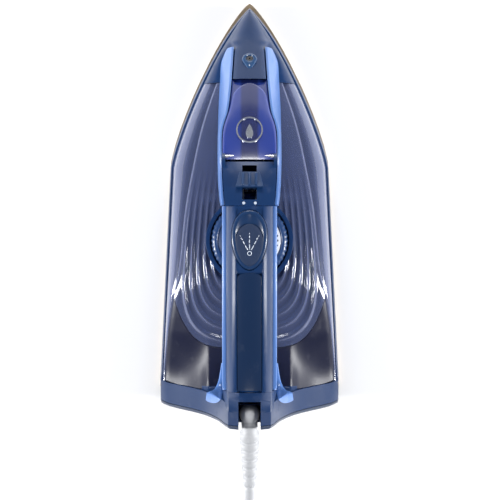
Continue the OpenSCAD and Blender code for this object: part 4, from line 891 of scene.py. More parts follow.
@dataclass
class LowerBody:
    """Soleplate, skirt, tank sides, tank top and rear deck."""

    lines: BodyLines
    skirt_z: float = 3.0
    skirt_depth: float = 16.4
    nose_end_y: float = 87.0
    deck_front_y: float = -87.0
    window_bow: float = 33.0
    ridge_count: float = 6.0
    ridge_height: float = 1.9

    def skirt(self) -> bpy.types.Object:
        """Hollow navy ring over the soleplate, its edges turned in by half a millimetre.

        Returns:
            The new object.
        """
        outer = np.array([
            [3.4, 1.9, self.skirt_z, 0.6], [2.8, 1.35, self.skirt_z + 0.25, 0.1],
            [2.6, 1.2, self.skirt_z + 0.9, 0], [3.2, 1.3, self.skirt_z + 9, 0],
            [4.3, 1.75, self.skirt_z + 18, 0], [4.95, 2.15, 26.2, 0], [5.15, 2.3, 26.75, 0.1],
            [5.7, 2.8, 27.0, 0.6],
        ])
        inner = outer[::-1] + np.array([1.4 * self.lines.wall - 1, self.lines.wall - 0.6, 0, 1.2])
        levels = np.concatenate([outer, inner[1:-1]])
        return loft("skirt_shell", level_loops(self.lines, levels, self.skirt_depth + 0.4), wrap=True)

    def tank_side(self, side: int) -> bpy.types.Object:
        """Steep side of the tank: seam, gentle bulge and rounded shoulder, at 90 stations.

        Args:
            side: 1 on the right, -1 on the left.

        Returns:
            The new object.
        """
        L = self.lines
        y = np.linspace(self.nose_end_y - 0.3, float(L.heel_y(L.seam_z, self.skirt_depth + 0.6)), 90)
        z0, z1 = np.full_like(y, L.seam_z + L.gap), L.side_top_z(y)
        x0, x1 = L.seam_x(y), L.shoulder_x(y)
        grids = []
        for inset in (0.0, L.wall):
            inwards = ((0.05, 0.2), (0.16, 0.58), (0.55, 0.93))
            cols = [(lerp(x0, x1, out) - inset, y, lerp(z0, z1, up)) for out, up in inwards]
            cols = [(x0 - inset, y, z0), *cols, (x1 - inset, y, z1)]
            grids.append(soften(rows_of(*cols), 2) * np.array([side, 1, 1]))
        name = "tank_side_right" if side > 0 else "tank_side_left"
        return shell(name, *grids)

    def terraces(self, x: np.ndarray, y: np.ndarray) -> np.ndarray:
        """Height of the nested ridges round the dial.

        The field is the 3.2th-power length of (x / shoulder, (start - y) / reach); a raised cosine
        of it, sharpened, makes the ridges, which die out forwards and towards the middle.

        Args:
            x: Places across.
            y: Stations.

        Returns:
            The heights.
        """
        start = -4.0
        across = np.abs(x) / (self.lines.shoulder_x(y) - 1)
        along = np.clip((start - y) / (start - self.deck_front_y), 0, 1)
        power, inner = 3.2, 0.42
        field = (across**power + along**power) ** (1 / power)
        phase = np.clip((field - inner) / 0.57, 0, 1)
        wave = (0.5 - 0.5 * np.cos(2 * np.pi * self.ridge_count * phase)) ** 2.2
        fade = ease((field - inner) / 0.1) * ease((34 - y) / 46) * lerp(0.45, 1, ease((-14 - y) / 30))
        return self.ridge_height * wave * fade * ease((1.0 - across) / 0.04 + 0.25)

    def top_grid(self, mid: np.ndarray, bows: np.ndarray, cols: int, ridges: bool) -> np.ndarray:
        """Rows across the top that bow forwards at the sides: y + bow * (x / shoulder)^5.

        Args:
            mid: Each row's y in the middle.
            bows: Each row's bow.
            cols: Columns from the side to the middle.
            ridges: Adds the nested ridges.

        Returns:
            Grid of points.
        """
        L = self.lines
        mid = mid[:, None]
        r = 1 - np.linspace(0, 1, cols)[None, :] ** 1.15
        y = mid + bows[:, None] * r**5
        x = (L.shoulder_x(mid + bows[:, None]) - 0.1) * r
        z = L.deck_z(x, y) + (self.terraces(x, y) if ridges else 0)
        z = z - 2.2 * (1 - np.clip((1 - r) / 0.05, 0, 1)) ** 2 * 0.5
        return mirrored(np.stack([x, y, z], -1))

    def window(self) -> bpy.types.Object:
        """Clear top of the tank with its nested ridges.

        Returns:
            The new object.
        """
        mid = np.linspace(self.nose_end_y - 0.3, self.deck_front_y, 260)
        bows = self.window_bow * np.clip((-22 - mid) / 65, 0, 1) ** 1.3
        outer, inner = (self.top_grid(mid, bows, 90, ridges) for ridges in (True, False))
        return shell("tank_top", outer, inner - np.array([0, 0, self.lines.wall]))

    def deck(self) -> bpy.types.Object:
        """Glossy deck between the tank's clear top and the heel.

        Returns:
            The new object.
        """
        L = self.lines
        rear = float(L.heel_y(50.0, self.skirt_depth + 0.6))
        mid = np.linspace(self.deck_front_y - L.gap, rear, 60)
        outer = self.top_grid(mid, np.linspace(self.window_bow, 5, 60), 60, False)
        return slab("rear_deck_skin", outer, L.wall)

    def build(self, frame: dict, wardrobe: Wardrobe) -> None:
        """Makes and dresses the lower body.

        Args:
            wardrobe: Gives the finishes.
        """
        sole = rounded_copy(frame, "soleplate", "soleplate_face")
        wardrobe.dress(sole, "sole_coating", "base", "soleplate", bevel=0.35)
        wardrobe.dress(self.skirt(), "navy", "base", "skirt")
        for side in (-1, 1):
            nodes = ("tank_shell",) if side < 0 else ()
            wardrobe.dress(self.tank_side(side), "smoke_tank", "base", *nodes, bevel=0.5)
        wardrobe.dress(self.window(), "smoke_tank", "base", "tank_window", bevel=0.5, angle=60)
        wardrobe.dress(self.deck(), "deck_gloss", "base", "rear_deck", bevel=0.6, angle=50)


@dataclass
class Nose:
    """Navy nose with its spray nozzle, and the pale side trims behind it."""

    lines: BodyLines
    end_y: float = 87.0
    trim_front_y: float = 110.0
    trim_rear_y: float = 4.6
    nozzle_y: float = 100.0
    nozzle_tilt: float = 52.0

    def half_section(self, y: np.ndarray, sink: float) -> np.ndarray:
        """Half sections: seam, bulge, foot, recessed flank, ridge edge, crown and middle.

        Args:
            y: Stations.
            sink: How far inside the outer skin.

        Returns:
            Grid of points, from the side to the middle.
        """
        L = self.lines
        seam = L.seam_x(y)
        dip = (L.trim_t + 0.8) * ease((115 - y) / 5)
        fx = np.minimum(L.foot_x(y), seam - 0.4)
        fz = np.minimum(hermite(L.foot_z_line, y), L.top_z(y) - 0.6)
        rx = np.minimum(L.ridge_x(y), fx - 0.3)
        rz = np.maximum(fz + 0.3, L.crown_z(rx, y))
        floor = np.full_like(y, L.seam_z + L.gap)
        t = np.minimum(sink, 0.5 * rx)
        columns = [
            (seam - t, y, floor),
            (lerp(seam, fx, 0.1) - t, y, lerp(floor, fz, 0.34)),
            (lerp(seam, fx, 0.3) - t, y, lerp(floor, fz, 0.72)),
            (lerp(seam, fx, 0.72) - t, y, lerp(floor, fz, 0.94) - 0.5 * t),
            (fx - dip * 0.9 - t, y, fz + dip * 0.1 - 0.5 * t),
            (fx - dip - t, y, fz + dip * 0.3 - 0.4 * t),
            (lerp(fx, rx, 0.5) - dip - t, y, lerp(fz, rz, 0.5) - 0.2 * t),
            (rx - dip - t, y, rz - dip * 0.6 - t),
            (rx - 0.2 - dip * 0.8 - 1.1 * t, y, rz + 0.05 - 1.05 * t),
        ]
        for share in (0.75, 0.5, 0.25, 0.0):
            x = (rx - 0.2 - dip * 0.8 - 1.1 * t) * share
            columns.append((x, y, L.crown_z(x, y) - t))
        return rows_of(*columns)

    def cover(self) -> bpy.types.Object:
        """Nose shell: softened half sections at 120 stations, closer together near the tip.

        Returns:
            The new object.
        """
        L = self.lines
        front = L.level_tip(5, 2.2) - 0.9
        y = lerp(front, self.end_y, np.linspace(0, 1, 120) ** 1.25)
        blend = ease((y - 106) / 14)[:, None, None]
        skins = []
        for sink in (0.0, L.wall):
            skin = soften(mirrored(self.half_section(y, sink)), 2)
            for _ in range(60):
                middle = 0.5 * (skin[:, :-2] + skin[:, 2:])
                skin[:, 1:-1] = lerp(skin[:, 1:-1], middle, blend)
            skins.append(skin)
        return shell("nose_shell", *skins)

    def trim(self, side: int) -> bpy.types.Object:
        """Pale side trim: crown edge, soft bulge, and a foot on the nose, the tank and the gap.

        Args:
            side: 1 on the right, -1 on the left.

        Returns:
            The new object.
        """
        L = self.lines
        y = lerp(self.trim_front_y, self.trim_rear_y, np.linspace(0, 1, 130))
        foot_x = L.foot_x(y)
        on_tank = L.deck_z(foot_x - L.trim_t, y) + 0.4
        foot_z = np.where(y > self.end_y, hermite(L.foot_z_line, y) + 0.5, on_tank)
        foot_z = np.maximum(foot_z, np.where(y < 13.4, L.under_z(y), 0))
        top_x, top_z = L.ridge_x(y), L.crown_z(L.ridge_x(y), y) - 0.3
        grids = []
        for inset in (0.0, L.trim_t):
            cols = [
                (lerp(top_x, foot_x, s) + 0.55 * math.sin(math.pi * s) - inset, y, lerp(top_z, foot_z, s))
                for s in np.linspace(0, 1, 9)
            ]
            grids.append(rows_of(*cols) * np.array([side, 1, 1]))
        name = "pale_trim_right" if side > 0 else "pale_trim_left"
        return shell(name, *grids)

    def build(self, frame: dict, wardrobe: Wardrobe) -> None:
        """Makes and dresses the nose, the trims and the nozzle.

        Args:
            wardrobe: Gives the finishes.
        """
        wardrobe.dress(self.cover(), "navy", "base", "nose_cover", bevel=0.4, angle=55)
        for side, node in ((-1, "side_trim_left"), (1, "side_trim_right")):
            wardrobe.dress(self.trim(side), "pale_blue", "base", node, bevel=0.5, angle=50)
        back = rounded_copy(frame, "column_back", "column_wall")
        wardrobe.dress(back, "pale_blue", "base", "column_back", bevel=0.4)
        wardrobe.dress(self.nozzle(), "nozzle_blue", "base", "spray_nozzle")

    def nozzle(self) -> bpy.types.Object:
        """Spray nozzle: a turned drop-shaped hood on a short barrel, open in front.

        Rings of radius r stand at distance d along the tilted axis; the upper side of the outer
        ones is drawn up by 5 sin(a)^6, which gives the drop its tail.

        Returns:
            The new object.
        """
        rings = np.array([[4.4, -7], [4.4, -0.4], [4.7, 0.0], [4.9, 0.8], [4.7, 1.7], [4.0, 2.4],
                          [3.0, 2.6], [2.4, 2.2], [2.2, 1.2], [2.2, -3.0]])
        c, s = circle(72).T
        tilt = math.radians(self.nozzle_tilt)
        axis = np.array([0, math.cos(tilt), math.sin(tilt)])
        up = np.array([0, -math.sin(tilt), math.cos(tilt)])
        base = np.array([0, self.nozzle_y, float(self.lines.top_z(np.array(self.nozzle_y)))])
        tail = np.clip(s, 0, 1) ** 6 * 5.0
        loops = []
        for r, d in rings:
            out = tail * (0.0 if d < -0.5 or r < 3.5 else 1.0)
            drop = -0.12 * out
            loops.append(
                base + np.outer(r * c, [1, 0, 0]) + np.outer(r * s + out, up)
                + np.outer(np.full(72, d) + drop, axis)
            )
        return loft("nozzle_hood", np.array(loops))


@dataclass
class Filler:
    """Translucent filler lid with its round badge."""

    lines: BodyLines
    front_y: float = 84.0
    rear_y: float = 33.2
    thickness: float = 2.6
    badge_y: float = 52.0
    lid_line: tuple = ((84, 7.5), (80, 9.6), (72, 11.4), (64, 13.2), (58, 15.6), (50, 17), (33, 17))

    def lid_half(self, y: np.ndarray) -> np.ndarray:
        """Half-width of the lid."""
        L = self.lines
        return np.minimum(hermite(self.lid_line, y), L.ridge_x(y) - L.trim_t - 0.45)

    def lid(self) -> bpy.types.Object:
        """Lid shell: crown surface whose front rows close to a round arch.

        The half-width is multiplied by sqrt(1 - (1 - s)^2) over the first 9 mm from the front.

        Returns:
            The new object.
        """
        L = self.lines
        y = lerp(self.front_y, self.rear_y, np.linspace(0, 1, 110) ** 1.35)
        near = np.clip((self.front_y - y) / 9.0, 0, 1)
        half = self.lid_half(y) * np.sqrt(np.clip(1 - (1 - near) ** 2, 0.004, 1))
        x, yy = fan(y, half, 1 - np.linspace(0, 1, 22) ** 1.1)
        rim = np.clip((half[:, None] - x) / 1.6, 0, 1)
        z = L.crown_z(x, yy) - 0.7 * (1 - rim) ** 2
        outer = mirrored(np.stack([x, yy, z], -1))
        inner = mirrored(np.stack([x * 0.985, yy, L.crown_z(x, yy) - self.thickness], -1))
        return shell("filler_lid_shell", outer, inner)

    def build(self, frame: dict, wardrobe: Wardrobe) -> None:
        """Makes and dresses the lid and its badge, drawn out along the slope so it reads round.

        Args:
            wardrobe: Gives the finishes.
        """
        badge = rounded_copy(frame, "lid_badge", "badge_mark")
        slope = float(np.diff(self.lines.top_z(np.array([54.0, 50.0])))[0]) / -4
        reshape(badge, lambda v: v + np.outer(0.34 * (v[:, 1] - self.badge_y), [0, 1, slope]))
        wardrobe.dress(badge, "badge", "lid", "lid_badge")
        wardrobe.dress(self.lid(), "lid_blue", "lid", "filler_lid", bevel=0.35, angle=55)


@dataclass
class Controls:
    """Panel, steam slider, spray button and the mark on it."""

    button_y: float = -17.0
    button_len: float = 37.0
    button_w: float = 22.0
    button_top: float = 150.2
    travel: float = 3.5

    def egg(self, y0: float, length: float, width: float, grow: float) -> np.ndarray:
        """Egg outline: x = w sin a (1 + 0.12 cos a), y = y0 + l cos a, with l and w grown.

        Args:
            y0: Middle of the egg.
            length: Length along y.
            width: Width.
            grow: Added all round.

        Returns:
            The outline, one (x, y) pair a row.
        """
        a = np.linspace(0, 2 * np.pi, 96, endpoint=False)
        x = (width / 2 + grow) * np.sin(a) * (1 + 0.12 * np.cos(a))
        return np.stack([x, y0 + (length / 2 + grow) * np.cos(a)], -1)

    def eggs(self, name: str, steps: tuple, back: float = 0, short: float = 0,
             narrow: float = 0) -> bpy.types.Object:
        """Solid through egg outlines, one for each step.

        Args:
            name: Object name.
            steps: Pairs of growth and rise over the button's top.
            back: How far behind the button's middle.
            short: How much shorter than the button.
            narrow: How much narrower.

        Returns:
            The new object.
        """
        size = (self.button_y - back, self.button_len - short, self.button_w - narrow)
        return loft(name, np.array([
            at_height(self.egg(*size, grow), self.button_top + rise) for grow, rise in steps]))

    def button(self) -> bpy.types.Object:
        """Domed egg button: loops shrink inwards as they rise, then dip into the pad's seat."""
        return self.eggs("spray_button_cap", (
            (0.0, -3.4), (0.0, -1.0), (-0.25, -0.45), (-0.8, -0.12), (-1.5, 0.0), (-2.2, -0.05),
            (-2.6, -0.3), (-2.8, -0.6)))

    def pad(self) -> bpy.types.Object:
        """Stippled pad in the button, slightly crowned along its rim."""
        steps = ((0.0, -0.6), (0.0, -0.08), (-0.3, 0.04), (-2.5, 0.08), (-5.0, 0.1))
        return self.eggs("button_stipple", steps, 3, 11, 5.5)

    def hole_cutter(self) -> bpy.types.Object:
        """Egg prism that cuts the button's hole in the handle."""
        egg = self.egg(self.button_y, self.button_len, self.button_w, 0.4)
        return loft("button_cutter", np.array([at_height(egg, z) for z in (138.0, 158.0)]))

    def spray_mark(self) -> bpy.types.Object:
        """Plain spray sign: a small ring at the rear and three dashed rays fanning forwards.

        Returns:
            The new object.
        """
        low = self.button_top + 0.11
        high = low + 0.12
        centre = np.array([0.0, self.button_y - 8.2])
        outer, inner = (centre + r * circle(40) for r in (1.45, 1.0))
        section = ((outer, low), (outer, high), (inner, high), (inner, low), (outer, low))
        verts = [np.concatenate([at_height(*corner) for corner in section])]
        faces = grid_quads(5, 40, close=True).tolist()
        start = len(verts[0])
        for lean in (-28, 0, 28):
            way = np.array([math.sin(math.radians(lean)), math.cos(math.radians(lean))])
            side = np.array([way[1], -way[0]])
            for k, (near, far) in enumerate(((2.4, 5.6), (6.3, 8.6), (9.3, 11.0), (11.7, 12.6))):
                half = 0.3 - 0.03 * k
                flat = np.array([centre + way * d + side * s for d, s in
                                 ((near, -half), (near, half), (far, half * 0.8), (far, -half * 0.8))])
                start = add_prism(verts, faces, flat, low, high, start)
        return link_mesh("spray_mark", np.concatenate(verts), faces)

    def build(self, frame: dict, wardrobe: Wardrobe) -> None:
        """Makes and dresses the controls.

        Args:
            wardrobe: Gives the finishes.
        """
        wardrobe.dress(rounded_copy(frame, "control_panel", "panel_skin"), "navy", "base",
                       "control_panel", bevel=0.25)
        slider = rounded_copy(frame, "steam_slider", "slider_thumb")
        wardrobe.dress(slider, "slider_blue", "slider", "steam_slider", bevel=0.3)
        coil = rounded_copy(frame, "pump_spring", "pump_coil")
        wardrobe.dress(coil, "steel", "base", "pump_spring")
        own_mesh(coil)
        wardrobe.dress(self.button(), "button_blue", "button", "spray_button")
        wardrobe.dress(self.pad(), "pad", "button", "button_pad")
        wardrobe.dress(self.spray_mark(), "lens", "button")


@dataclass
class Handle:
    """Upper shell, pale lower shell with rails, soft grip and the rear column."""

    lines: BodyLines
    controls: Controls
    front_y: float = 4.0
    rear_y: float = -112.0
    grip_front_y: float = -36.6
    grip_drop: float = 1.9
    column_depth: float = 32.0

    def upper_half(self, y: np.ndarray, t: float) -> np.ndarray:
        """Half sections of the upper shell: flank, shoulder, then the step down to the grip.

        Args:
            y: Stations.
            t: How far inside the outer skin.

        Returns:
            Grid of points, from the side to the middle.
        """
        L = self.lines
        w = L.handle_w / 2 - L.rail_w
        z0, z1, rail = L.rail_z(y) - 3.5, L.top_z(y), L.rail_z(y)
        h = z1 - rail
        dip = self.grip_drop * ease((self.grip_front_y - y) / 2.5)
        g = L.grip_w / 2
        return rows_of(
            (w - 0.1 - t, y, z0), (w - 0.02 - t, y, rail), (w - t, y, rail + 0.3 * h - 0.1 * t),
            (w - 0.9 - t, y, rail + 0.58 * h - 0.3 * t), (w - 2.2 - 0.9 * t, y, rail + 0.75 * h - 0.6 * t),
            (w - 4.0 - 0.7 * t, y, rail + 0.9 * h - 0.8 * t),
            (g + 0.9 - 0.5 * t, y, z1 - 0.75 - dip * 0.4 * (t > 0) - t),
            (g + 0.35 - 0.55 * t, y, z1 - 0.85 - dip * (t > 0) - t),
            (g + 0.28 - 0.6 * t, y, z1 - 0.9 - dip - t), (g - 0.6 - 0.6 * t, y, z1 - 0.8 - dip - t),
            (g * 0.6 - 0.6 * t, y, z1 - 0.3 - dip - t), (0 * y, y, z1 - dip - t),
        )

    def upper(self) -> bpy.types.Object:
        """Upper shell at 120 stations."""
        y = np.linspace(self.front_y, self.rear_y + 0.3, 120)
        grids = [soften(mirrored(self.upper_half(y, s)), 1) for s in (0.0, self.lines.wall)]
        return shell("handle_top_shell", *grids)

    def lower_half(self, y: np.ndarray, t: float) -> np.ndarray:
        """Half sections of the lower shell: rail, flank and rounded belly.

        Args:
            y: Stations.
            t: How far inside the outer skin.

        Returns:
            Grid of points, from the side to the middle.
        """
        L = self.lines
        z1 = L.rail_z(y)
        z0 = np.minimum(L.under_z(y), z1 - 6)
        h, w = z1 - z0, L.handle_w / 2
        return rows_of(
            (w - 0.45 - t, y, z1), (w - 0.05 - t, y, z1 - 0.6), (w - t, y, z1 - h * 0.25),
            (w - 0.8 - t, y, z0 + h * 0.5), (w - 2.4 - t, y, z0 + np.maximum(h * 0.28, t)),
            (w - 5 - 0.8 * t, y, z0 + h * 0.1 + t), (w - 9 - t * 0.4, y, z0 + h * 0.02 + t),
            (w * 0.25 + 0 * y, y, z0 + t), (0 * y, y, z0 + t),
        )

    def lower(self) -> bpy.types.Object:
        """Lower shell at 120 stations."""
        y = np.linspace(4.3, self.rear_y + 0.7, 120)
        grids = [soften(mirrored(self.lower_half(y, t)), 1) for t in (0.0, self.lines.rail_w - 0.5)]
        return shell("handle_belly", *grids)

    def grip(self) -> bpy.types.Object:
        """Grip insert: a crowned strip with a rounded front end.

        Returns:
            The new object.
        """
        L = self.lines
        y = lerp(self.grip_front_y - 0.6, self.rear_y + 1.5, np.linspace(0, 1, 100) ** 1.2)
        near = np.clip((self.grip_front_y - 0.6 - y) / 3, 0, 1)
        half = L.grip_w / 2 * np.sqrt(np.clip(1 - (1 - near) ** 2, 0.05, 1))
        x, yy = fan(y, half, 1 - np.linspace(0, 1, 10))
        z = L.top_z(yy) - 0.9 * (2 * x / L.grip_w) ** 2
        return slab("grip_strip", mirrored(np.stack([x, yy, z], -1)), 1.5)

    def build(self, frame: dict, wardrobe: Wardrobe) -> None:
        """Makes and dresses the handle; the upper shell gets its button hole.

        Args:
            wardrobe: Gives the finishes.
        """
        upper = self.upper()
        cut = self.controls.hole_cutter()
        hole = upper.modifiers.new("button_hole", "BOOLEAN")
        hole.operation, hole.object, hole.solver = "DIFFERENCE", cut, "EXACT"
        bake_modifiers(upper)
        bpy.data.objects.remove(cut)
        wardrobe.dress(upper, "navy", "base", "handle_upper", bevel=0.3, angle=50)
        wardrobe.dress(self.lower(), "pale_blue", "base", "handle_lower", bevel=0.4, angle=60)
        wardrobe.dress(self.grip(), "grip", "base", "grip_insert", bevel=0.3, angle=60)
        rear = rounded_copy(frame, "handle_rear", "rear_column")
        reshape(rear, lambda v: np.where(v[:, 1:2] < self.rear_y, v + np.outer(
            (self.rear_y - v[:, 1]) * self.lines.heel_draw / self.column_depth, [0, 1, 0]), v))
        wardrobe.dress(rear, "navy", "base", "handle_rear", bevel=0.5)


@dataclass
class Dial:
    """Temperature dial with its fluted rim, printed scale and well."""

    centre: tuple = (0.0, -17.0, 62.8)
    radius: float = 25.0
    height: float = 8.0
    band_in: float = 6.8

    def ring(self) -> bpy.types.Object:
        """Fluted ring: the flutes fade out at the bottom and the top of its wall.

        Returns:
            The new object.
        """
        r, h = self.radius, self.height
        profile = np.array([
            [3.0, 0, 0], [r - 1.2, 0, 0], [r - 0.5, 0.25, 0.2], [r - 0.35, 1.0, 1], [r - 0.35, h * 0.52, 1],
            [r - 0.7, h * 0.66, 0.8], [r - 1.5, h * 0.78, 0.2], [r - 2.4, h * 0.84, 0],
            [r - 3.6, h * 0.85, 0], [r - 4.3, h * 0.8, 0], [r - 4.4, h * 0.55, 0], [3.0, h * 0.55, 0],
        ])
        return lathe("dial_ring", profile, self.centre, 288, 48, 0.3)

    def plate(self) -> bpy.types.Object:
        """Plate inside the ring, stepped up to a hub.

        Returns:
            The new object.
        """
        r, h = self.radius, self.height
        z = h * 0.55
        profile = np.array([
            [3.05, z, 0], [r - 4.5, z, 0], [r - 4.5, z + h * 0.17, 0], [r - 4.8, z + h * 0.2, 0],
            [r - 8.9, z + h * 0.2, 0], [r - 9.4, z + h * 0.24, 0], [r - 9.8, z + h * 0.42, 0],
            [r - 10.3, z + h * 0.45, 0], [3.05, z + h * 0.45, 0],
        ])
        return lathe("dial_plate", profile, self.centre)

    def crescent(self) -> bpy.types.Object:
        """White printed band of the scale, widest in the middle and pointed at both ends.

        Half-width across the band is 2.1 sqrt(cos) of the share of its sweep.

        Returns:
            The new object.
        """
        a = np.radians(np.linspace(-52, 52, 60))[:, None]
        half = 2.1 * np.sqrt(np.clip(np.cos(np.linspace(-1, 1, 60) * np.pi / 2), 0.01, 1))[:, None]
        r = self.radius - self.band_in + half * np.linspace(1, -1, 5)[None, :]
        z = np.full_like(r, self.centre[2] + self.height * 0.76)
        top = np.stack([self.centre[0] + r * np.cos(a), self.centre[1] + r * np.sin(a), z], -1)
        return slab("dial_crescent", top, 0.3)

    def ticks(self) -> bpy.types.Object:
        """Growing dots round the scale, one flat solid each.

        Returns:
            The new object.
        """
        top = self.centre[2] + self.height * 0.75
        verts: list = []
        faces: list = []
        start = 0
        for k in range(9):
            a = math.radians(-40 + k * 10)
            middle = np.array([math.cos(a), math.sin(a)]) * (self.radius - self.band_in)
            dot = middle + np.array(self.centre[:2]) + (0.35 + 0.07 * k) * circle(14)
            start = add_prism(verts, faces, dot, top, top + 0.22, start)
        return link_mesh("dial_scale", np.concatenate(verts), faces)

    def build(self, frame: dict, wardrobe: Wardrobe) -> None:
        """Makes and dresses the dial and its well.

        Args:
            wardrobe: Gives the finishes.
        """
        wardrobe.dress(self.ring(), "dial_blue", "dial", "temperature_dial")
        wardrobe.dress(self.plate(), "dial_blue", "dial", "dial_cap")
        wardrobe.dress(self.crescent(), "dial_white", "dial")
        wardrobe.dress(self.ticks(), "navy_dark", "dial")
        well = rounded_copy(frame, "dial_well", "dial_surround")
        wardrobe.dress(well, "navy", "base", "dial_well", bevel=0.4)


@dataclass
class Heel:
    """Bell-shaped heel frame and rear cover, the saddle in front of them and the bands' feet."""

    lines: BodyLines
    deck_end_y: float = -112.0
    saddle_low_z: float = 58.0
    face_depth: float = 16.0

    def build(self, frame: dict, wardrobe: Wardrobe) -> None:
        """Makes and dresses the frame, the cover, the saddle in front of them and the hooks.

        Args:
            wardrobe: Gives the finishes.
        """
        for node, name, slot in (("heel_frame", "heel_band", "navy"),
                                 ("rear_cover", "heel_cover", "navy_dark")):
            piece = rounded_copy(frame, node, name)
            reshape(piece, lambda v: v + np.outer(self.draw_in(v[:, 2]), [0, 1, 0]))
            wardrobe.dress(piece, slot, "base", node, bevel=0.35)
        wardrobe.dress(self.saddle(), "navy", "base", bevel=0.4, angle=60)
        for side in (-1, 1):
            wardrobe.dress(self.hook(side), "pale_blue", "base", bevel=0.3, angle=60)

    def draw_in(self, z: np.ndarray) -> np.ndarray:
        """How far the heel's skin is drawn forward at height z, so that its top stands straighter."""
        return self.lines.heel_draw * np.clip((np.asarray(z) - 30) / 82, 0, 1) ** 1.2

    def rim_height(self, x: np.ndarray) -> np.ndarray:
        """Height of the heel's edge over half-width x."""
        bell = np.array(self.lines.bell_line)
        return np.interp(np.abs(x), bell[:, 1], bell[:, 0]) - 0.4

    def edge(self, x: np.ndarray) -> tuple[np.ndarray, np.ndarray]:
        """Height and y of the saddle's rear edge, on the heel's front face."""
        top = np.maximum(self.rim_height(x), self.saddle_low_z)
        return top, self.lines.heel_y(top, self.face_depth) + self.draw_in(top)

    def saddle_z(self, x: np.ndarray, y: np.ndarray) -> np.ndarray:
        """Height of the saddle: level with the deck in front, then up to the heel's edge.

        The rise follows the 2.2nd power of the way from the deck's end to the heel's front face.

        Args:
            x: Places across.
            y: Stations.

        Returns:
            The heights.
        """
        top, rear = self.edge(x)
        t = np.clip((self.deck_end_y - y) / (self.deck_end_y - rear), 0, 1)
        return lerp(self.lines.deck_z(x, np.full_like(y, self.deck_end_y)), top, t**2.2)

    def saddle(self) -> bpy.types.Object:
        """Skin between deck, handle column and heel.

        Returns:
            The new object.
        """
        x = np.concatenate([np.linspace(-31.2, -11, 40), np.linspace(11, 31.2, 40)])[None, :]
        y = lerp(self.deck_end_y, self.edge(x)[1] - 0.6, np.linspace(0, 1, 30)[:, None])
        z = self.saddle_z(x + 0 * y, y)
        return slab("heel_saddle", np.stack(np.broadcast_arrays(x, y, z), -1), 1.6)

    def hook(self, side: int) -> bpy.types.Object:
        """Pale foot of the side band: it runs down beside the column and turns outwards.

        A strip of changing width along a smooth line, lying on deck and saddle.

        Args:
            side: 1 on the right, -1 on the left.

        Returns:
            The new object.
        """
        middle = np.array([(18.0, -97, 0.5), (18.3, -104, 1.2), (18.9, -110, 1.9), (20.2, -115.0, 3.0),
                           (22.6, -117.9, 3.7), (25.8, -118.6, 3.5), (28.2, -118.3, 2.6)])
        line = Route.smooth(middle, 10)
        way = np.gradient(line[:, :2], axis=0)
        way /= np.linalg.norm(way, axis=1, keepdims=True)
        across = np.stack([-way[:, 1], way[:, 0]], -1)[:, None, :]
        v = np.linspace(-1, 1, 9)[None, :, None]
        flat = line[:, None, :2] + across * line[:, None, 2:3] * v
        lift = 2.0 * (1 - 0.3 * v[..., 0] ** 4) * lerp(1, 3.0, ease((-109 - flat[..., 1]) / 8))
        x, y = flat[..., 0], flat[..., 1]
        end = self.deck_end_y
        base = np.where(y > end, self.lines.deck_z(x, np.maximum(y, end)), self.saddle_z(x, y))
        top = np.stack([side * x, y, base + lift], -1)
        name = "band_foot_right" if side > 0 else "band_foot_left"
        return slab(name, top, 4.0)


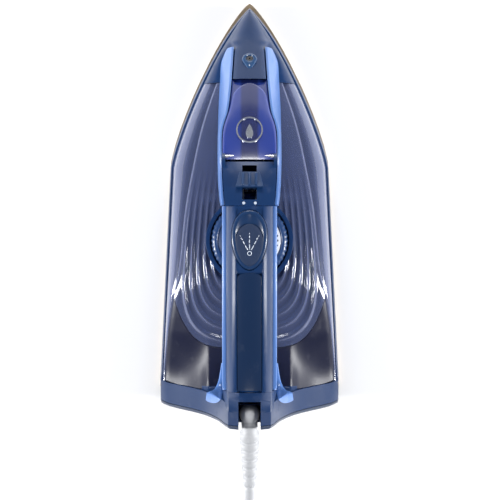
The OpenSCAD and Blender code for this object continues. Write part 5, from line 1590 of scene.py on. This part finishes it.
class Route:
    """The free cord's middle line: down from the strain relief, round a coil and to the plug."""

    LEAD = ((0, -186, 76), (0, -198, 66), (1, -209, 52), (3, -219, 36), (7, -230, 20.5),
            (12.5, -243, 10), (18.5, -256, 5.4), (24, -268, 4.4), (28, -280, 4.4), (29.7, -293, 4.4))
    TAIL = ((-50.3, -341.8, 11.2), (-62, -335.5, 8), (-72.5, -326.5, 5.4), (-80, -316, 8.3),
            (-84.5, -306, 14), (-86, -297.5, 18.9), (-86, -294.7, 19.2))

    COIL_CENTRE = (-21.0, -300.0)
    COIL_RADIUS = 50.7
    FLOOR_Z = 4.4

    def __init__(self, diameter: float, pivot: tuple, guard_len: float, droop: float) -> None:
        """Keeps the cord's thickness and where it leaves the strain relief.

        Args:
            diameter: Thickness of the cord.
            pivot: The strain relief's ball, as (y, z).
            guard_len: Length of the strain relief.
            droop: How far it hangs, in degrees.
        """
        self.diameter = diameter
        a = math.radians(droop)
        reach = guard_len + 0.2
        self.exit = np.array([0.0, pivot[0] - reach * math.cos(a), pivot[1] - reach * math.sin(a)])

    @staticmethod
    def smooth(points: np.ndarray, steps: int = 8) -> np.ndarray:
        """Catmull-Rom curve.

        Args:
            points: Points that it runs through.
            steps: Samples to each stretch.

        Returns:
            Points on the curve.
        """
        p = np.concatenate([points[:1], points, points[-1:]])
        t = np.linspace(0, 1, steps, endpoint=False)[None, :, None]
        a, b, c, d = (p[k:len(p) - 3 + k, None] for k in range(4))
        curve = 0.5 * (2 * b + (c - a) * t + (2 * a - 5 * b + 4 * c - d) * t**2
                       + (3 * b - a - 3 * c + d) * t**3)
        return np.concatenate([curve.reshape(-1, 3), points[-1:]])

    def coil(self) -> np.ndarray:
        """Six turns, clockwise from above: three spiral in on the floor, three spiral out on top.

        Returns:
            Points along the middle line.
        """
        centre, wide = self.COIL_CENTRE, self.COIL_RADIUS
        first = math.atan2(7.0, wide)
        last = math.atan2(-41.8, -29.3) - 2 * math.pi
        bottom = 3.0 * 2 * math.pi
        total = bottom * 2 + (first - last) - 2 * math.pi
        s = np.linspace(0, total, 340)[1:-1]
        low = wide - self.diameter * s / (2 * math.pi)
        turn_in = wide - self.diameter * 3
        high = turn_in + self.diameter * (s - bottom) / (2 * math.pi) * 3 / (total - bottom) * 2 * math.pi
        up = ease((s - bottom + 0.5) / 1.0)
        r = np.where(s < bottom, low, high)
        z = self.FLOOR_Z + self.diameter * up
        a = first - s
        return np.stack([centre[0] + r * np.cos(a), centre[1] + r * np.sin(a), z], -1)

    def points(self, spacing: float = 3.5) -> np.ndarray:
        """The whole middle line.

        Args:
            spacing: Length of its even steps.

        Returns:
            One point a row.
        """
        rough = np.concatenate([
            self.smooth(np.concatenate([self.exit[None], np.array(self.LEAD, float)])),
            self.coil(), self.smooth(np.array(self.TAIL, float)),
        ])
        step = np.linalg.norm(np.diff(rough, axis=0), axis=1)
        rough = rough[np.concatenate([[True], step > 1e-6])]
        run = np.concatenate([[0], np.cumsum(np.linalg.norm(np.diff(rough, axis=0), axis=1))])
        at = np.linspace(0, run[-1], int(run[-1] / spacing))
        return np.stack([np.interp(at, run, rough[:, k]) for k in range(3)], -1)


@dataclass
class CordSet:
    """Strain relief, and the cord with its coil that runs to the plug."""

    diameter: float = 6.8
    ball_d: float = 13.0
    guard_len: float = 52.0
    droop: float = 25.0
    pivot: tuple = (-127.0, 104.0)

    def cord(self, wardrobe: Wardrobe) -> None:
        """The cord as one tube, starting where the strain relief ends.

        Args:
            wardrobe: Gives the finish.
        """
        route = Route(self.diameter, self.pivot, self.guard_len, self.droop)
        points = route.points()
        piece = tube("mains_cord", points, self.diameter / 2)
        piece.data.materials.append(wardrobe.material("cord_white"))
        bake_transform(piece)
        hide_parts("cord_lead", "cord_coil")

    def guard(self) -> bpy.types.Object:
        """Strain relief: ball, neck and a ribbed taper, turned round its drooping axis.

        Ring radius falls in a straight line, with five grooves cut as smooth steps.

        Returns:
            The new object.
        """
        b = self.ball_d / 2
        end = self.diameter / 2 + 1
        ball = [[b * math.sin(t), -b * math.cos(t)] for t in np.linspace(0.02, 2.25, 16)]
        neck = [[b - 1.4, 5.6], [b - 1.4, 12], [b - 0.5, 13.2], [b, 14.6]]
        ribs: list = []
        for k in range(5):
            z = 18 + k * 6.4
            r = lerp(b, end, k / 5)
            ribs += [[r, z - 0.5], [r - 0.1, z], [r - 0.9, z + 0.4], [r - 1.1, z + 0.9],
                     [r - 1.1, z + 1.8], [r - 0.9, z + 2.2], [r - 0.25, z + 2.6]]
        rings = np.array(ball + neck + ribs + [[end + 0.2, 50.5], [end, 51.4], [end - 0.5, 52.0],
                                               [self.diameter / 2 - 0.3, 52.0]])
        c, s = circle(64).T[:, None, :, None]
        d = math.radians(self.droop)
        axis = np.array([0, -math.cos(d), -math.sin(d)])
        up = np.array([0, -math.sin(d), math.cos(d)])
        base = np.array([0, *self.pivot])
        loops = (base + rings[:, 1, None, None] * axis
                 + rings[:, 0, None, None] * (c * np.array([1.0, 0, 0]) + s * up))
        return loft("strain_relief", loops)

    def build(self, frame: dict, wardrobe: Wardrobe) -> None:
        """Makes and dresses the cord set."""
        self.cord(wardrobe)
        wardrobe.dress(self.guard(), "cord_white", "guard", "cord_guard")


# ---- Stage -------------------------------------------------------------------------------------


@dataclass
class Studio:
    """Pale floor, soft light and a camera straight above."""

    height: float = 1.6
    centre_x: float = 0.0003
    centre_y: float = -0.0231
    lens: float = 169.7

    def floor(self) -> None:
        """Large pale floor just under the soleplate, with a faint clouding."""
        mesh = bpy.data.meshes.new("floor")
        s, z = 6.0, -0.0005
        mesh.from_pydata([(-s, -s, z), (s, -s, z), (s, s, z), (-s, s, z)], [], [(0, 1, 2, 3)])
        kit = ShaderKit("pale_floor")
        pale = kit.mix(kit.noise(300.0, 2.0), (0.9, 0.9, 0.9, 1), (0.93, 0.93, 0.93, 1))
        mesh.materials.append(kit.surface({
            "Base Color": pale, "Roughness": 0.9, "Specular IOR Level": 0.1}))
        linked("floor", mesh)

    def light(self, name: str, place: tuple, size: tuple, power: float) -> None:
        """Soft box aimed at the iron's middle.

        Args:
            name: Object name.
            place: Where it stands, in metres.
            size: Its width and height, in metres.
            power: Its power, in watts.
        """
        data = bpy.data.lights.new(name, "AREA")
        data.shape = "RECTANGLE"
        data.size, data.size_y = size
        data.energy = power
        lamp = linked(name, data)
        lamp.location = place
        lamp.rotation_mode = "QUATERNION"
        lamp.rotation_quaternion = (Vector() - Vector(place)).to_track_quat("-Z", "Y")

    def camera(self) -> None:
        """Camera straight above the iron, its top edge towards the tip."""
        data = bpy.data.cameras.new("view")
        data.lens, data.sensor_width = self.lens, 36.0
        data.clip_end = 20
        cam = linked("view", data)
        cam.location = (self.centre_x, self.centre_y, self.height)
        bpy.context.scene.camera = cam

    def build(self) -> None:
        """Sets the stage."""
        self.camera()
        self.floor()
        world = bpy.data.worlds.new("studio")
        world.use_nodes = True
        colour, strength = world.node_tree.nodes["Background"].inputs[:2]
        colour.default_value = (0.9, 0.93, 1.0, 1)
        strength.default_value = 0.24
        bpy.context.scene.world = world
        for name, side in (("left_box", -1), ("right_box", 1)):
            self.light(name, (side * 1.6, -0.2, 0.66), (0.24, 1.4), 46)
        self.light("front_box", (0.0, 1.6, 0.95), (0.9, 0.35), 20)
        self.light("rear_box", (0.0, -1.7, 1.3), (0.5, 0.2), 1.5)
        bpy.context.scene.view_settings.view_transform = "Standard"


def finishes() -> dict:
    """Finish of each material slot.

    Returns:
        The finishes by slot name.
    """
    return {
        "sole_coating": Metal("bronze_coating", (0.55, 0.42, 0.28), 0.34, speckle=0.3, metallic=0.85),
        "casting": Metal("cast_alloy", (0.7, 0.71, 0.73), 0.45, (1, 1, 1)),
        "heater_steel": Metal("heater_sheath", (0.4, 0.4, 0.41), 0.4),
        "steel": Metal("plain_steel", (0.7, 0.7, 0.72), 0.28),
        "brass": Metal("brass", (0.76, 0.58, 0.24), 0.28),
        "badge": Metal("badge_silver", (0.8, 0.84, 0.92), 0.16),
        "ceramic": Moulded("ceramic", (0.8, 0.77, 0.7), Gloss.MATT),
        "white_plastic": Moulded("white_moulding", (0.82, 0.82, 0.8), Gloss.SATIN),
        "black_plastic": Moulded("black_moulding", (0.02, 0.02, 0.025), Gloss.SOFT),
        "navy": Moulded("navy_moulding", (0.005, 0.026, 0.092), Gloss.PLAIN, shine=0.28,
                         grain_depth=0.003),
        "navy_dark": Moulded("dark_navy_moulding", (0.005, 0.02, 0.06), Gloss.SATIN),
        # The edge colours of smoke_tank and lid_blue are a painted sheen of reflected light at glancing
        # angles.
        "smoke_tank": Clear("smoky_tank", (0.045, 0.06, 0.13), 0.7, edge=(0.3, 0.34, 0.55)),
        "dial_blue": Moulded("dial_blue", (0.01, 0.04, 0.13), Gloss.SATIN),
        "dial_white": Moulded("printed_white", (0.8, 0.83, 0.9), Gloss.SATIN, cloud=0.04),
        "deck_gloss": Moulded("deck_gloss", (0.008, 0.01, 0.028), Gloss.PLAIN, grain_depth=0.0015,
                              marks=0.04, shine=0.22),
        "nozzle_blue": Moulded("nozzle_blue", (0.02, 0.06, 0.15), Gloss.HIGH),
        "pale_blue": Moulded("pale_blue_moulding", (0.085, 0.195, 0.5), Gloss.SATIN, cloud=0.05,
                             marks=0.0),
        "lid_blue": Clear("blue_lid", (0.006, 0.025, 0.2), 0.94, 0.2, edge=(0.06, 0.1, 0.4),
                          stripe_mm=12.0),
        "seal_rubber": Moulded("seal_rubber", (0.03, 0.03, 0.035), Gloss.MATT),
        "slider_blue": Moulded("slider_blue", (0.008, 0.034, 0.105), Gloss.SATIN),
        "lens": Moulded("lens", (0.5, 0.56, 0.66), Gloss.HIGH, cloud=0.02),
        "grip": Moulded("soft_grip", (0.001, 0.015, 0.055), Gloss.SATIN, grain_mm=0.5, grain_depth=0.03,
                        marks=0.03, cloud=0.08),
        "button_blue": Moulded("button_blue", (0.006, 0.028, 0.09), Gloss.SATIN, shine=0.35),
        "pad": Stippled("button_stipple", (0.004, 0.018, 0.06)),
        "tube_clear": Moulded("silicone_tube", (0.7, 0.74, 0.78), Gloss.SOFT),
        "cord_white": Moulded("cord_white", (0.47, 0.48, 0.5), Gloss.SOFT, cloud=0.03, grain_mm=0.8),
        "lead_red": Moulded("lead_insulation", (0.5, 0.08, 0.06), Gloss.SOFT),
    }


def dress_nodes(frame: dict, wardrobe: Wardrobe) -> None:
    """Gives every node of the frame the finish of its slot.

    Args:
        wardrobe: Gives the finishes.
    """
    slots = {s["node"]: s["material_slot"] for s in frame["record"]["subparts"]}
    for name, node in frame["nodes"].items():
        node.data.materials.clear()
        node.data.materials.append(wardrobe.material(slots[name]))


def main() -> None:
    """Builds the sub-assemblies in order, with the camera and the cord first."""
    logging.basicConfig(level=logging.INFO)
    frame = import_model()
    lines = BodyLines()
    wardrobe = Wardrobe(finishes())
    dress_nodes(frame, wardrobe)
    Studio().build()
    CordSet().build(frame, wardrobe)
    controls = Controls()
    for part in (LowerBody(lines), Nose(lines), Filler(lines), controls,
                 Handle(lines, controls), Dial(), Heel(lines)):
        part.build(frame, wardrobe)
        log.info("built %s", type(part).__name__)


if __name__ == "__main__":
    main()
